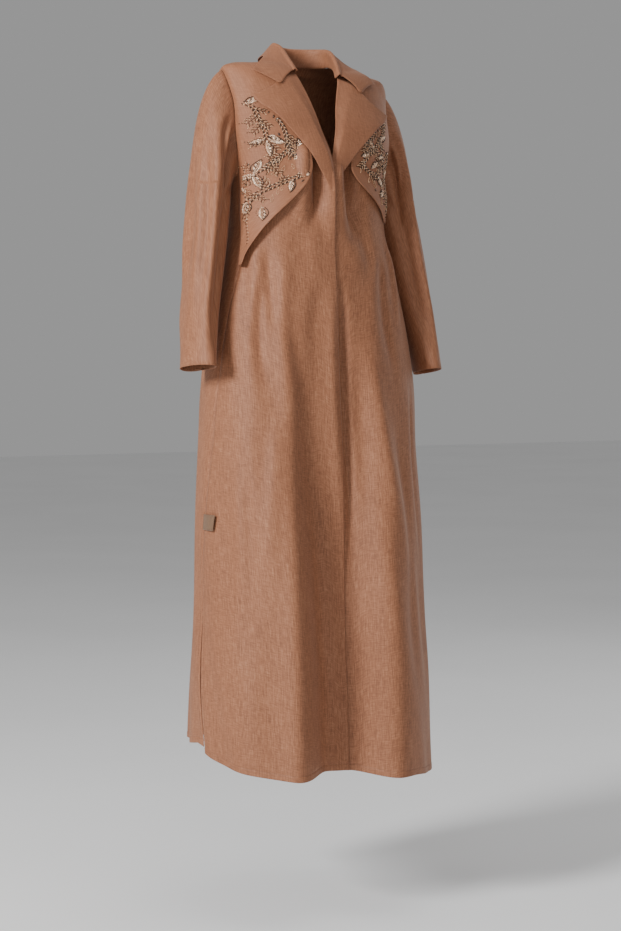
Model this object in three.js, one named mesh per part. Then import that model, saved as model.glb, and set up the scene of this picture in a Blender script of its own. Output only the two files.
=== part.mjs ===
// A worn, open-fronted abaya in linen-look cloth: A-line fronts and back, long set-in sleeves, a notched collar
// with wide lapels, and a loose pointed bib on each front that carries beadwork. Millimetres, +Z up, the front
// faces -Y, the wearer's left is +X. The origin lies between the shoulders at the height of the neck seam.
//
// The body is one smooth form. A point on it is given by a height z and a ring angle phi in degrees:
// 0 is the wearer's left side, 90 the back, 180 the right side and -90 the centre front.
import * as THREE from "three";

const DEG = Math.PI / 180;

// Cloth and making
const WALL = 2; // thickness of the cloth walls
const SEAM_GAP = 0.3; // between pieces that are sewn together
const LAYER_GAP = 1.1; // between pieces that lie on each other
const RIM = WALL + LAYER_GAP; // lift of a piece that lies right on another

// Heights, down from the neck seam
const TIP_Z = -17; // shoulder tip, where the sleeve starts
const UNDERARM_Z = -208;
const BREAK_Z = -285; // where the lapels start to turn back
const HEM_Z = -1305;

// Worn pose
const LEFT_SHOULDER_DROP = 0.055; // the left shoulder is carried lower: fall in z per mm in x

// Fronts
const RIGHT_OVER = 3; // the right front laps past the centre by this much
const LEFT_UNDER = 20; // the left front runs on under it
const LAP_BLEND = 85; // width over which the right front comes down off the left one

// The form, by height: half width and how much wider the left side is, centre front to back, reach of the front
// and of the back, squareness
const FORM = [
  { z: 8, half: 58, left: 0, y: 2, front: 40, back: 54, square: 2.1 },
  { z: 3, half: 84, left: 2, y: 6, front: 30, back: 52, square: 2.1 },
  { z: -5, half: 128, left: 7, y: 14, front: 48, back: 48, square: 2.2 },
  { z: -17, half: 158, left: 12, y: 20, front: 70, back: 58, square: 2.3 },
  { z: -40, half: 160, left: 14, y: 20, front: 86, back: 74, square: 2.35 },
  { z: -75, half: 158, left: 14, y: 16, front: 97, back: 88, square: 2.4 },
  { z: -125, half: 157, left: 13, y: 8, front: 108, back: 100, square: 2.4 },
  { z: -205, half: 150, left: 4, y: 2, front: 114, back: 106, square: 2.35 },
  { z: -285, half: 150, left: 7, y: 0, front: 115, back: 106, square: 2.3 },
  { z: -378, half: 166, left: 15, y: -2, front: 120, back: 114, square: 2.35 },
  { z: -470, half: 184, left: 15, y: -6, front: 128, back: 128, square: 2.35 },
  { z: -574, half: 199, left: 12, y: -12, front: 142, back: 143, square: 2.35 },
  { z: -711, half: 211, left: 2, y: -17, front: 160, back: 161, square: 2.3 },
  { z: -845, half: 219, left: 0, y: -21, front: 182, back: 181, square: 2.2 },
  { z: -1000, half: 222, left: 0, y: -24, front: 202, back: 198, square: 2.1 },
  { z: -1137, half: 228, left: 2, y: -25, front: 216, back: 212, square: 2.05 },
  { z: -1305, half: 232, left: 2, y: -25, front: 228, back: 224, square: 2.05 },
];

// Folds that fall down the skirt: ring angle at the top and at the hem, half width in degrees, depth at the hem
// (out is positive), the height where the fold starts and where it has its full depth, and how flat its floor is
const FOLDS = [
  { top: -95, hem: -97, width: 18, depth: -78, from: -360, full: -1150, flat: 4 }, // centre valley
  { top: -112, hem: -120, width: 9, depth: 12, from: -330, full: -1150, flat: 2 }, // right ridge beside it
  { top: -70, hem: -70, width: 10, depth: 7, from: -330, full: -1150, flat: 2 }, // left ridge beside it
  { top: -140, hem: -145, width: 9, depth: 8, from: -420, full: -1100, flat: 2 },
  { top: -38, hem: -40, width: 11, depth: -7, from: -400, full: -1150, flat: 2 },
  { top: 155, hem: 152, width: 11, depth: -16, from: -480, full: -1100, flat: 2 }, // behind the right seam
  { top: 25, hem: 27, width: 11, depth: -14, from: -480, full: -1100, flat: 2 }, // behind the left seam
  { top: 128, hem: 130, width: 9, depth: 16, from: -300, full: -1000, flat: 2 },
  { top: 108, hem: 110, width: 8, depth: -16, from: -260, full: -1000, flat: 2 },
  { top: 90, hem: 90, width: 9, depth: 18, from: -260, full: -1000, flat: 2 },
  { top: 72, hem: 70, width: 8, depth: -15, from: -260, full: -1000, flat: 2 },
  { top: 52, hem: 49, width: 9, depth: 15, from: -300, full: -1000, flat: 2 },
];

// The hem rises towards the side seams, where it is rounded, and in the centre valley
const HEM_BEND_FROM = -950;
const HEM_RISE = { seam: 44, rightSpread: 24, leftSpread: 10, left: 10, valley: 12, back: 26, backSeam: 22 };

// Slits at the foot of the side seams, below the tab: they open by this much at the hem
const SLIT_TOP = -884;
const SLIT_OPENING = 4.5;

// Armhole and side seam: how far in front of the side line the front ends, and in the armhole, how far behind
// the line the back ends
const ARMHOLE_Z = (TIP_Z + UNDERARM_Z) / 2;
const ARMHOLE_HALF = (TIP_Z - UNDERARM_Z) / 2;
const FRONT_SIDE = [
  { z: -17, angle: 0 },
  { z: -28, angle: 8 },
  { z: -43, angle: 13 },
  { z: -60, angle: 15.5 },
  { z: -85, angle: 17 },
  { z: -125, angle: 15.5 },
  { z: -208, angle: 12.5 },
  { z: -285, angle: 13 },
  { z: -338, angle: 18 },
  { z: -382, angle: 20.5 },
  { z: -421, angle: 18.5 },
  { z: -459, angle: 15.5 },
  { z: -520, angle: 12.5 },
  { z: -732, angle: 5.6 },
  { z: -832, angle: 2 },
  { z: -930, angle: 0 },
  { z: -1177, angle: 2 },
  { z: -1305, angle: 6.5 },
];
const BACK_ARMHOLE = [
  { z: -17, angle: 0 },
  { z: -28, angle: 8 },
  { z: -50, angle: 14 },
  { z: -80, angle: 16 },
  { z: -120, angle: 13 },
  { z: -165, angle: 4 },
  { z: -208, angle: -12.5 },
];

// Sleeve sections from the upper arm to the cuff: centre, how much further out the left arm is held, half size
// across and front to back, and how far the forearm turns inwards
const SLEEVE = [
  { z: -236, x: 189, y: 1, leftOut: 3, across: 35, deep: 55, turn: 0 },
  { z: -330, x: 203, y: -9, leftOut: 4, across: 34, deep: 54, turn: 2 },
  { z: -432, x: 220, y: -22, leftOut: 6, across: 29, deep: 51, turn: 6 },
  { z: -552, x: 242, y: -53, leftOut: 0, across: 22, deep: 49, turn: 10 },
];
const RIGHT_ARM_LOWER = 17; // the right arm is held straighter, so its cuff hangs lower by this much
// Soft creases across the inner bend of each sleeve: height, angle round the sleeve, spans, depth
const SLEEVE_CREASES = [
  { z: -250, at: 70, tall: 20, round: 30, depth: -4 },
  { z: -300, at: 120, tall: 22, round: 50, depth: -4 },
  { z: -372, at: 100, tall: 18, round: 45, depth: -4 },
  { z: -432, at: 80, tall: 18, round: 50, depth: -5 },
];

// Roll line of the lapels, and above the gorge the neck seam: distance from the centre line, by height
const ROLL = [
  { z: -285, x: -3 },
  { z: -231, x: -3 },
  { z: -190, x: 0.5 },
  { z: -129, x: 14.5 },
  { z: -77, x: 26 },
  { z: -21, x: 45.5 },
  { z: -5, x: 53 },
  { z: 3, x: 57 },
  { z: 8, x: 57 },
];
const GORGE_Z = -22; // where the collar meets the lapel on the roll line

// Outer edge of each lapel from its break point up to its peak
const RIGHT_LAPEL_EDGE = [
  { z: -285, x: -3 },
  { z: -257, x: 0 },
  { z: -226, x: 10 },
  { z: -192, x: 31 },
  { z: -168, x: 46 },
  { z: -135, x: 71 },
  { z: -102, x: 100 },
  { z: -89, x: 116 },
  { z: -73, x: 127 },
];
const LEFT_LAPEL_EDGE = [
  { z: -285, x: -3 },
  { z: -252, x: -2 },
  { z: -232, x: 3 },
  { z: -180, x: 37 },
  { z: -141, x: 72 },
  { z: -113, x: 103 },
  { z: -98, x: 124 },
  { z: -85, x: 134 },
];

// Inner and lower edge of each bib, as a distance from the centre line
const RIGHT_BIB_EDGE = [
  { z: -8, x: 84 },
  { z: -60, x: 70 },
  { z: -125, x: 54 },
  { z: -167, x: 44 },
  { z: -191, x: 41 },
  { z: -208, x: 45 },
  { z: -226, x: 54 },
  { z: -252, x: 74 },
  { z: -289, x: 104 },
  { z: -322, x: 125 },
  { z: -361, x: 145 },
  { z: -383, x: 152 },
];
const LEFT_BIB_EDGE = [
  { z: -8, x: 84 },
  { z: -60, x: 70 },
  { z: -125, x: 54 },
  { z: -167, x: 44 },
  { z: -188, x: 42 },
  { z: -205, x: 50 },
  { z: -223, x: 68 },
  { z: -242, x: 93 },
  { z: -260, x: 116 },
  { z: -275, x: 130 },
  { z: -282, x: 136 },
];
// Collar from the centre back to the gorge: neck seam, crest, middle of the fall, and its edge in plan
const COLLAR = [
  { seam: [0, 55, 9.5], crest: [0, 53, 38], middle: [0, 74, 14], edge: [0, 78] },
  { seam: [29, 48, 10], crest: [27, 46, 39], middle: [38, 66, 15], edge: [41, 73] },
  { seam: [49, 28, 10], crest: [46, 27, 39], middle: [62, 41, 19], edge: [68, 48] },
  { seam: [56, 5, 10], crest: [53, 6, 37], middle: [71, 7, 23], edge: [80, 8] },
  { seam: [55, -13, 6], crest: [52, -15, 29], middle: [74, -16, 17], edge: [90, -16] },
  { seam: [50, -32, -3], crest: [50, -37, 10], middle: [78, -42, -4], edge: [104, -32] },
  { seam: [43, -50, -17], crest: [45, -60, -15], middle: [84, -71, -43], edge: [127, -47] },
];

// Plain tab caught in the right side seam
const TAB = { z: -850, wide: 44, tall: 28, thick: 1.6 };

// ---- small tools ----

const lerp = (a, b, t) => a + (b - a) * t;
const clamp01 = (t) => Math.min(1, Math.max(0, t));
const smooth = (from, to, v) => {
  const t = clamp01((v - from) / (to - from));
  return t * t * (3 - 2 * t);
};
const power = (v, exponent) => Math.sign(v) * Math.abs(v) ** exponent;

// Value of one column of a table at height z, on a smooth curve that never overshoots its rows
function column(table, name, z) {
  const rows = [...table].sort((p, q) => p.z - q.z);
  if (z <= rows[0].z) return rows[0][name];
  if (z >= rows[rows.length - 1].z) return rows[rows.length - 1][name];
  const k = rows.findIndex((row) => row.z > z) - 1;
  const rate = (i) => (rows[i + 1][name] - rows[i][name]) / (rows[i + 1].z - rows[i].z);
  const slope = (i) => {
    if (i === 0) return rate(0);
    if (i === rows.length - 1) return rate(i - 1);
    const [before, after] = [rate(i - 1), rate(i)];
    return before * after <= 0 ? 0 : (2 * before * after) / (before + after);
  };
  const span = rows[k + 1].z - rows[k].z;
  const t = (z - rows[k].z) / span;
  const [a, b] = [rows[k][name], rows[k + 1][name]];
  const bend = t * t * (3 - 2 * t);
  return a + (b - a) * bend + span * (slope(k) * t * (1 - t) ** 2 - slope(k + 1) * t * t * (1 - t));
}

// ---- the body form ----

const angleFrom = (phi, centre) => ((((phi - centre + 180) % 360) + 360) % 360) - 180;

function foldDepth(phi, z) {
  let depth = 0;
  for (const fold of FOLDS) {
    const grown = smooth(fold.from, fold.full, z);
    const centre = lerp(fold.top, fold.hem, grown);
    const away = Math.abs(angleFrom(phi, centre)) / fold.width;
    depth += fold.depth * grown * Math.exp(-(away ** fold.flat));
  }
  return depth;
}

const halfWidth = (z, side) => column(FORM, "half", z) + (side > 0 ? column(FORM, "left", z) : 0);

function ringPoint(phi, z) {
  const half = halfWidth(z, Math.cos(phi * DEG));
  const exponent = 2 / column(FORM, "square", z);
  const sine = Math.sin(phi * DEG);
  const reach = sine < 0 ? column(FORM, "front", z) : column(FORM, "back", z);
  return new THREE.Vector2(half * power(Math.cos(phi * DEG), exponent), reach * power(sine, exponent));
}

// The outer face of the body at a ring angle and height
function formPoint(phi, z) {
  const point = ringPoint(phi, z);
  const along = ringPoint(phi + 0.5, z).sub(ringPoint(phi - 0.5, z)).normalize();
  point.add(new THREE.Vector2(along.y, -along.x).multiplyScalar(foldDepth(phi, z)));
  return new THREE.Vector3(point.x, column(FORM, "y", z) + point.y, z);
}

function formNormal(phi, z) {
  const round = formPoint(phi + 1, z).sub(formPoint(phi - 1, z));
  const up = formPoint(phi, z + 1.5).sub(formPoint(phi, z - 1.5));
  return round.cross(up).normalize();
}

const onForm = (phi, z, lift = 0) => formPoint(phi, z).addScaledVector(formNormal(phi, z), lift);

// Ring angle on the front of the form at a distance x from the centre line, as if on the wearer's left
function frontAngle(x, z, side) {
  const half = halfWidth(z, side * x);
  const share = Math.max(-1, Math.min(1, x / half));
  return -Math.acos(power(share, column(FORM, "square", z) / 2)) / DEG;
}

// Height and ring angle of the shoulders at a place in plan
function shoulderAt(x, y) {
  const reachAt = (z) => column(FORM, y < column(FORM, "y", z) ? "front" : "back", z);
  const shares = (z) => [x / halfWidth(z, x), (y - column(FORM, "y", z)) / reachAt(z)];
  let [low, high] = [TIP_Z - 90, 8];
  for (let k = 0; k < 30; k++) {
    const z = (low + high) / 2;
    const square = column(FORM, "square", z);
    const inside = shares(z).reduce((sum, share) => sum + Math.abs(share) ** square, 0) < 1;
    if (inside) low = z;
    else high = z;
  }
  const exponent = column(FORM, "square", low) / 2;
  const [across, deep] = shares(low).map((share) => power(share, exponent));
  return { z: low, phi: Math.atan2(deep, across) / DEG };
}

// The point over a place in plan that stands off the shoulders by a lift
function overShoulder(x, y, lift) {
  const base = new THREE.Vector2(x, y);
  let point;
  for (let k = 0; k < 8; k++) {
    const { z, phi } = shoulderAt(base.x, base.y);
    point = onForm(phi, z, lift);
    base.add(new THREE.Vector2((x - point.x) * 0.7, (y - point.y) * 0.7));
  }
  return new THREE.Vector3(x, y, point.z);
}

// Ring angle that lies a distance further round at that place
function shifted(phi, z, distance) {
  const perDegree = formPoint(phi + 0.5, z).distanceTo(formPoint(phi - 0.5, z));
  return phi + distance / perDegree;
}

// Where a piece ends at the side on the wearer's left: shoulder seam, armhole or side seam
const frontSideAngle = (z) => (z > TIP_Z ? 0 : -column(FRONT_SIDE, "angle", z));
const backSideAngle = (z) => (z > UNDERARM_Z && z < TIP_Z ? column(BACK_ARMHOLE, "angle", z) : frontSideAngle(z));

// ---- cloth walls ----

// A closed wall from a grid of outer points: rows x columns, thickness inwards along the grid's own normals
function wallGeometry(grid, wall, closedRound = false) {
  const rows = grid.length;
  const columns = grid[0].length;
  const at = (j, i) => grid[j][closedRound ? (i + columns) % columns : Math.min(columns - 1, Math.max(0, i))];
  const inner = grid.map((row, j) =>
    row.map((point, i) => {
      const across = at(j, i + 1).clone().sub(at(j, i - 1));
      const up = grid[Math.min(rows - 1, j + 1)][i].clone().sub(grid[Math.max(0, j - 1)][i]);
      return point.clone().addScaledVector(across.cross(up).normalize(), -wall);
    }),
  );
  const positions = [...grid.flat(), ...inner.flat()].flatMap((p) => [p.x, p.y, p.z]);
  const outerAt = (j, i) => j * columns + (closedRound ? i % columns : i);
  const innerAt = (j, i) => rows * columns + outerAt(j, i);
  const index = [];
  const quad = (a, b, c, d) => index.push(a, b, c, a, c, d);
  const last = closedRound ? columns : columns - 1;
  for (let j = 0; j < rows - 1; j++)
    for (let i = 0; i < last; i++) {
      quad(outerAt(j, i), outerAt(j, i + 1), outerAt(j + 1, i + 1), outerAt(j + 1, i));
      quad(innerAt(j, i), innerAt(j + 1, i), innerAt(j + 1, i + 1), innerAt(j, i + 1));
    }
  for (let i = 0; i < last; i++) {
    quad(outerAt(0, i), innerAt(0, i), innerAt(0, i + 1), outerAt(0, i + 1));
    quad(outerAt(rows - 1, i), outerAt(rows - 1, i + 1), innerAt(rows - 1, i + 1), innerAt(rows - 1, i));
  }
  if (!closedRound)
    for (let j = 0; j < rows - 1; j++) {
      quad(outerAt(j, 0), outerAt(j + 1, 0), innerAt(j + 1, 0), innerAt(j, 0));
      quad(outerAt(j, last), innerAt(j, last), innerAt(j + 1, last), outerAt(j + 1, last));
    }
  const geometry = new THREE.BufferGeometry();
  geometry.setAttribute("position", new THREE.Float32BufferAttribute(positions, 3));
  geometry.setIndex(index);
  return geometry;
}

// Lowers the left shoulder and everything that hangs from it
const posed = (point) => point.setZ(point.z - LEFT_SHOULDER_DROP * point.x);

function clothMesh(name, grid, material, { wall = WALL, closedRound = false } = {}) {
  grid.flat().forEach(posed);
  const mesh = new THREE.Mesh(wallGeometry(grid, wall, closedRound), material);
  mesh.name = name;
  return mesh;
}

// Heights of the rows of a body piece: close together round the armhole's ends, wider down the skirt
const ARMHOLE_ROWS = [...Array(11).keys()].map((k) => ARMHOLE_Z + ARMHOLE_HALF * Math.cos((k / 10) * Math.PI));
const CHEST_ROWS = [-225, -242, -263, -285, -308, -332, -356];
const SKIRT_ROWS = [-382, -430, -490, -560, -640, -730, -810, -890, -980, -1060, -1140, -1210, -1265, HEM_Z];
const SHOULDER_ROWS = [7.5, 5.5, 3, 0, -3.5, -8, -12.5];
const BODY_ROWS = [...SHOULDER_ROWS, ...ARMHOLE_ROWS, ...CHEST_ROWS, ...SKIRT_ROWS].reverse();

// How far the hem is raised at a ring angle, for a place at height z
function hemRise(phi, z, onBack) {
  const fromRight = Math.abs(angleFrom(phi, 180));
  const fromLeft = Math.abs(angleFrom(phi, 0));
  const valley = HEM_RISE.valley * Math.exp(-((angleFrom(phi, -97) / 18) ** 4));
  const corners = Math.exp(-fromRight / HEM_RISE.rightSpread) + Math.exp(-fromLeft / HEM_RISE.leftSpread);
  const left = HEM_RISE.left * Math.exp(-((angleFrom(phi, -64) / 20) ** 2));
  const front = HEM_RISE.seam * corners + left + valley;
  const back = HEM_RISE.back + HEM_RISE.backSeam * Math.exp(-Math.min(fromRight, fromLeft) / 30);
  return (onBack ? back : front) * smooth(HEM_BEND_FROM, HEM_Z, z);
}

// Half the opening between front and back at the side seam
const seamHalfGap = (z) => SEAM_GAP / 2 + (SLIT_OPENING / 2) * smooth(SLIT_TOP, HEM_Z, z);

// ---- pieces ----

// side is 1 for the wearer's left and -1 for the right; the right is the mirror image in the ring angle
const mirrored = (phi, side) => (side > 0 ? phi : -180 - phi);

function frontEdge(z, side) {
  const extension = side > 0 ? -LEFT_UNDER : -RIGHT_OVER;
  if (z <= BREAK_Z) return extension;
  const roll = column(ROLL, "x", z);
  return side > 0 ? roll - (LEFT_UNDER - RIGHT_OVER) * smooth(-200, BREAK_Z, z) : roll;
}

// The right front lies on the left one near the centre, and on the left lapel where the two cross
function lapLift(x, z, side) {
  if (side > 0) return 0;
  const lift = (RIM + 5 * smooth(-330, -270, z)) * smooth(-110, -170, z);
  return lift * smooth(RIGHT_OVER + LAP_BLEND, LEFT_UNDER + 6, Math.abs(x));
}

const hung = (point, phi, onBack = false) => point.setZ(point.z + hemRise(phi, point.z, onBack));

function frontPanel(side, material) {
  const columns = 19;
  const grid = BODY_ROWS.map((z) => {
    const from = frontAngle(frontEdge(z, side), z, side);
    const to = shifted(frontSideAngle(z), z, -seamHalfGap(z));
    const row = [...Array(columns).keys()].map((i) => {
      const u = i / (columns - 1);
      const phi = lerp(from, to, u - 0.07 * Math.sin(2 * Math.PI * u));
      const x = ringPoint(phi, z).x;
      const angle = mirrored(phi, side);
      return hung(onForm(angle, z, lapLift(x, z, side)), angle);
    });
    return side > 0 ? row : row.reverse();
  });
  return clothMesh(side > 0 ? "front_left" : "front_right", grid, material);
}

function backPanel(material) {
  const columns = 29;
  const grid = BODY_ROWS.map((z) => {
    const from = shifted(backSideAngle(z), z, seamHalfGap(z));
    return [...Array(columns).keys()].map((i) => {
      const phi = lerp(from, 180 - from, i / (columns - 1));
      return hung(onForm(phi, z), phi, true);
    });
  });
  return clothMesh("back", grid, material);
}

// Armhole seam point for a turn round the sleeve: 0 at the shoulder tip, 90 at the front, 180 at the underarm
function armholePoint(turn, side) {
  const z = ARMHOLE_Z + ARMHOLE_HALF * Math.cos(turn * DEG);
  const onFront = Math.sin(turn * DEG) > 0;
  const point = formPoint(mirrored(onFront ? frontSideAngle(z) : backSideAngle(z), side), z);
  return point.setX(Math.abs(point.x));
}

// A section of the sleeve at height z, square to the arm
function sleeveFrame(z, side) {
  const out = (h) => (side > 0 ? column(SLEEVE, "leftOut", h) : 0);
  const centreAt = (h) => new THREE.Vector3(column(SLEEVE, "x", h) + out(h), column(SLEEVE, "y", h), h);
  const down = centreAt(z - 4).sub(centreAt(z + 4)).normalize();
  const outward = new THREE.Vector3(1, 0, 0).addScaledVector(down, -down.x).normalize();
  const turn = column(SLEEVE, "turn", z) * DEG;
  outward.applyAxisAngle(down, turn);
  const forward = down.clone().cross(outward).normalize();
  return { centre: centreAt(z), down, outward, forward };
}

function creaseDepth(turn, z) {
  return SLEEVE_CREASES.reduce((sum, crease) => {
    const along = (z - crease.z - 0.25 * (angleFrom(turn, crease.at))) / crease.tall;
    const round = angleFrom(turn, crease.at) / crease.round;
    return sum + crease.depth * Math.exp(-(along ** 2) - round ** 2);
  }, 0);
}

function sleevePoint(turn, z, side) {
  const { centre, outward, forward } = sleeveFrame(z, side);
  const crease = creaseDepth(turn, z);
  const across = column(SLEEVE, "across", z) + crease;
  const deep = column(SLEEVE, "deep", z) + crease;
  return centre
    .addScaledVector(outward, across * Math.cos(turn * DEG))
    .addScaledVector(forward, deep * Math.sin(turn * DEG));
}

// From the armhole seam over the sleeve head to the upper arm, t from 0 to 1
function sleeveHeadPoint(turn, t, side) {
  const start = armholePoint(turn, side);
  const end = sleevePoint(turn, SLEEVE[0].z, side);
  const spread = new THREE.Vector3(0, -Math.sin(turn * DEG), Math.cos(turn * DEG));
  const leave = new THREE.Vector3(0.75, 0, -0.66).addScaledVector(spread, 0.25).normalize();
  start.addScaledVector(leave, SEAM_GAP);
  const reach = start.distanceTo(end);
  const first = start.clone().addScaledVector(leave, 0.22 * reach);
  const second = end.clone().addScaledVector(sleeveFrame(SLEEVE[0].z, side).down, -0.42 * reach);
  return new THREE.CubicBezierCurve3(start, first, second, end).getPoint(t);
}

function sleeve(side, material) {
  const turns = [...Array(18).keys()].map((i) => i * 20);
  const head = [0, 0.12, 0.27, 0.45, 0.63, 0.82];
  const arm = [-236, -268, -300, -335, -365, -395, -420, -445, -480, -516, -552];
  const rings = [
    ...arm.reverse().map((z) => turns.map((turn) => sleevePoint(turn, z, side))),
    ...head.reverse().map((t) => turns.map((turn) => sleeveHeadPoint(turn, t, side))),
  ];
  const grid = rings.map((ring) => {
    ring.forEach((point) => point.setX(side * point.x));
    if (side < 0) ring.forEach((p) => p.setZ(p.z - RIGHT_ARM_LOWER * smooth(UNDERARM_Z, SLEEVE[3].z, p.z)));
    return side > 0 ? ring.reverse() : ring;
  });
  return clothMesh(side > 0 ? "sleeve_left" : "sleeve_right", grid, material, { closedRound: true });
}

// A grid of points on the front of the form between two edges given as {x, z} in the front view
function onFront(x, z, side, lift) {
  return onForm(mirrored(frontAngle(x, z, side), side), z, lift);
}

// A lapel: turned back at the roll line, lying over the bib
function lapel(side, material) {
  const edge = side > 0 ? LEFT_LAPEL_EDGE : RIGHT_LAPEL_EDGE;
  const peak = edge[edge.length - 1];
  const rows = 17;
  const columns = 8;
  const lowest = side > 0 ? -243 : -281;
  const grid = [...Array(rows).keys()].map((j) => {
    const t = j / (rows - 1);
    const rollZ = lerp(lowest, GORGE_Z, t);
    const roll = { x: column(ROLL, "x", rollZ) - 0.6, z: rollZ };
    const outZ = lerp(lowest, peak.z, t);
    const out = { x: Math.max(column(edge, "x", outZ), roll.x + 5), z: outZ };
    const row = [...Array(columns).keys()].map((i) => {
      const s = i / (columns - 1);
      const x = lerp(roll.x, out.x, s);
      const z = lerp(roll.z, out.z, s);
      const full = RIM * (1 + 1.3 * smooth(-206, -178, z));
      const close = WALL + SEAM_GAP + 0.4 * smooth(-75, -40, z);
      const layers = lerp(close, full, smooth(0, 0.3, s));
      const stand = (side > 0 ? 9 : 7) * s * s * smooth(0.3, 1, t);
      return onFront(x, z, side, layers + lapLift(x, z, side) + stand);
    });
    return side > 0 ? row : row.reverse();
  });
  return clothMesh(side > 0 ? "lapel_left" : "lapel_right", grid, material);
}

// A bib: caught in the shoulder, armhole and side seams, loose along its inner and lower edge
function bib(side, material) {
  const edge = side > 0 ? LEFT_BIB_EDGE : RIGHT_BIB_EDGE;
  const tip = edge[edge.length - 1].z;
  const columns = 12;
  const heights = [tip + 3, ...BODY_ROWS.filter((z) => z > tip + 8 && z < -6)];
  const grid = heights.map((z) => {
    const inner = frontAngle(column(edge, "x", z), z, side);
    const outer = shifted(frontSideAngle(z), z, -seamHalfGap(z) - 1);
    const from = Math.min(inner, shifted(outer, z, -4));
    const loose = (side > 0 ? 4 : 8) * smooth(-190, -250, z);
    const row = [...Array(columns).keys()].map((i) => {
      const s = i / (columns - 1);
      const phi = lerp(from, outer, s);
      const x = ringPoint(phi, z).x;
      const hug = side > 0 ? smooth(-290, -225, z) : 1;
      const stand = (1 + loose * lerp(1, 0.15, s) + 3 * (1 - s) ** 2 * smooth(-192, -235, z)) * hug;
      const lift = lerp(WALL + SEAM_GAP, RIM + stand, smooth(1, 0.9, s));
      return onForm(mirrored(phi, side), z, lapLift(x, z, side) + lift);
    });
    return side > 0 ? row : row.reverse();
  });
  return clothMesh(side > 0 ? "bib_left" : "bib_right", grid, material);
}

// The collar: a stand up the neck, folded over at the crest, and a fall that lies on the shoulders
function collar(material) {
  const resting = 3 * RIM;
  const places = COLLAR.map((row) => ({ ...row, edge: overShoulder(...row.edge, resting).toArray() }));
  const flip = ([x, y, z]) => [-x, y, z];
  const curveOf = (name) => {
    const half = places.map((row) => row[name]);
    const points = [...half.slice(1).reverse().map(flip), ...half].map((p) => new THREE.Vector3(...p));
    return new THREE.CatmullRomCurve3(points, false, "centripetal");
  };
  const [seam, crest, middle, edge] = ["seam", "crest", "middle", "edge"].map(curveOf);
  const steps = 28;
  const grid = [...Array(steps + 1).keys()].map((j) => {
    const [low, top, mid, out] = [seam, crest, middle, edge].map((curve) => curve.getPoint(j / steps));
    const away = out.clone().sub(top).setZ(0).normalize();
    const inner = top.clone().addScaledVector(away, -1);
    const outer = top.clone().addScaledVector(away, 6).add(new THREE.Vector3(0, 0, -1.5));
    const ridge = top.clone().addScaledVector(away, 2).add(new THREE.Vector3(0, 0, 2));
    const upper = [0.33, 0.67, 1].map((t) => outer.clone().lerp(mid, t));
    const lower = [0.33, 0.67, 1].map((t) => mid.clone().lerp(out, t));
    const fall = [...upper, ...lower];
    fall.forEach((p) => p.setZ(Math.max(p.z, overShoulder(p.x, p.y, resting).z)));
    return [low, low.clone().lerp(inner, 0.5), inner, ridge, outer, ...fall];
  });
  return clothMesh("collar", grid, material);
}

// The plain tab that is caught in the right side seam and stands a little off the front
function tab(material) {
  const low = TAB.z - TAB.tall / 2;
  const grid = [0, 0.5, 1].map((v) =>
    [0, 0.25, 0.5, 0.75, 1].map((u) => {
      const z = low + v * TAB.tall;
      const seam = mirrored(frontSideAngle(z), -1);
      return onForm(shifted(seam, z, 1 + u * TAB.wide), z, TAB.thick + SEAM_GAP + 4 * u);
    }),
  );
  return clothMesh("side_tab", grid, material, { wall: TAB.thick });
}

// ---- materials and assembly ----

const cloth = (color) => new THREE.MeshStandardMaterial({ color, roughness: 0.85, metalness: 0 });
const linen = cloth(0xa87658);
const tabCloth = cloth(0x8a6a4b);

const abaya = new THREE.Group();
abaya.name = "abaya";
abaya.add(
  frontPanel(-1, linen),
  frontPanel(1, linen),
  backPanel(linen),
  sleeve(-1, linen),
  sleeve(1, linen),
  lapel(-1, linen),
  lapel(1, linen),
  bib(-1, linen),
  bib(1, linen),
  collar(linen),
  tab(tabCloth),
);

export default abaya;
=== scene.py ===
"""Looks of a worn, open-fronted abaya in slubbed linen-look cloth with beaded bibs.

The cloth pieces repeat the part's own form from the same named sizes, in millimetres, at a finer step
and with softer creases. Blender's objects are in metres. +Z is up, the front faces -Y and the wearer's
left is +X. A side is 1 for the wearer's left and -1 for the right. On the body a place is a height z and
a ring angle phi in degrees: 0 is the left side, 90 the back, 180 the right side and -90 the front.
"""

import math

import bpy
import numpy as np
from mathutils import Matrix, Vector


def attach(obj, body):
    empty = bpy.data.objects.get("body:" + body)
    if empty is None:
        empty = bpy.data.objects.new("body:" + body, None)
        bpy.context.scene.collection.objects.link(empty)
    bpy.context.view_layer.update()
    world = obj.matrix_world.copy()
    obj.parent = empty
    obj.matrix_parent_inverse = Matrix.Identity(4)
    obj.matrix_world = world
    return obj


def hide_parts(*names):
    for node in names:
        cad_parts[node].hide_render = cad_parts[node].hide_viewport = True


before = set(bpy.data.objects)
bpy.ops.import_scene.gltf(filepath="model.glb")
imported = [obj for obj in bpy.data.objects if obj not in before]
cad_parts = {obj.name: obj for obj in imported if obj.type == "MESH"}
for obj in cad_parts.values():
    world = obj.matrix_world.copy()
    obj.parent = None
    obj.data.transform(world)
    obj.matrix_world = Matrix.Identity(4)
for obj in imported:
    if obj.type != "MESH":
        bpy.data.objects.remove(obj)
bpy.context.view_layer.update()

MM = 0.001


def table(names, *rows):
    """Short rows with named columns, the height first: {name: array}, lowest row first."""
    return dict(zip(names.split(), np.array(sorted(rows), float).T))


def named(names, *rows):
    """Rows with named sizes, in the order given: a dict for each row."""
    return [dict(zip(names.split(), row)) for row in rows]


# ---- sizes that the part's source gives, in mm ----

WALL = 2.0
SEAM_GAP = 0.3
LAYER_GAP = 1.1
RIM = WALL + LAYER_GAP

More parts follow.
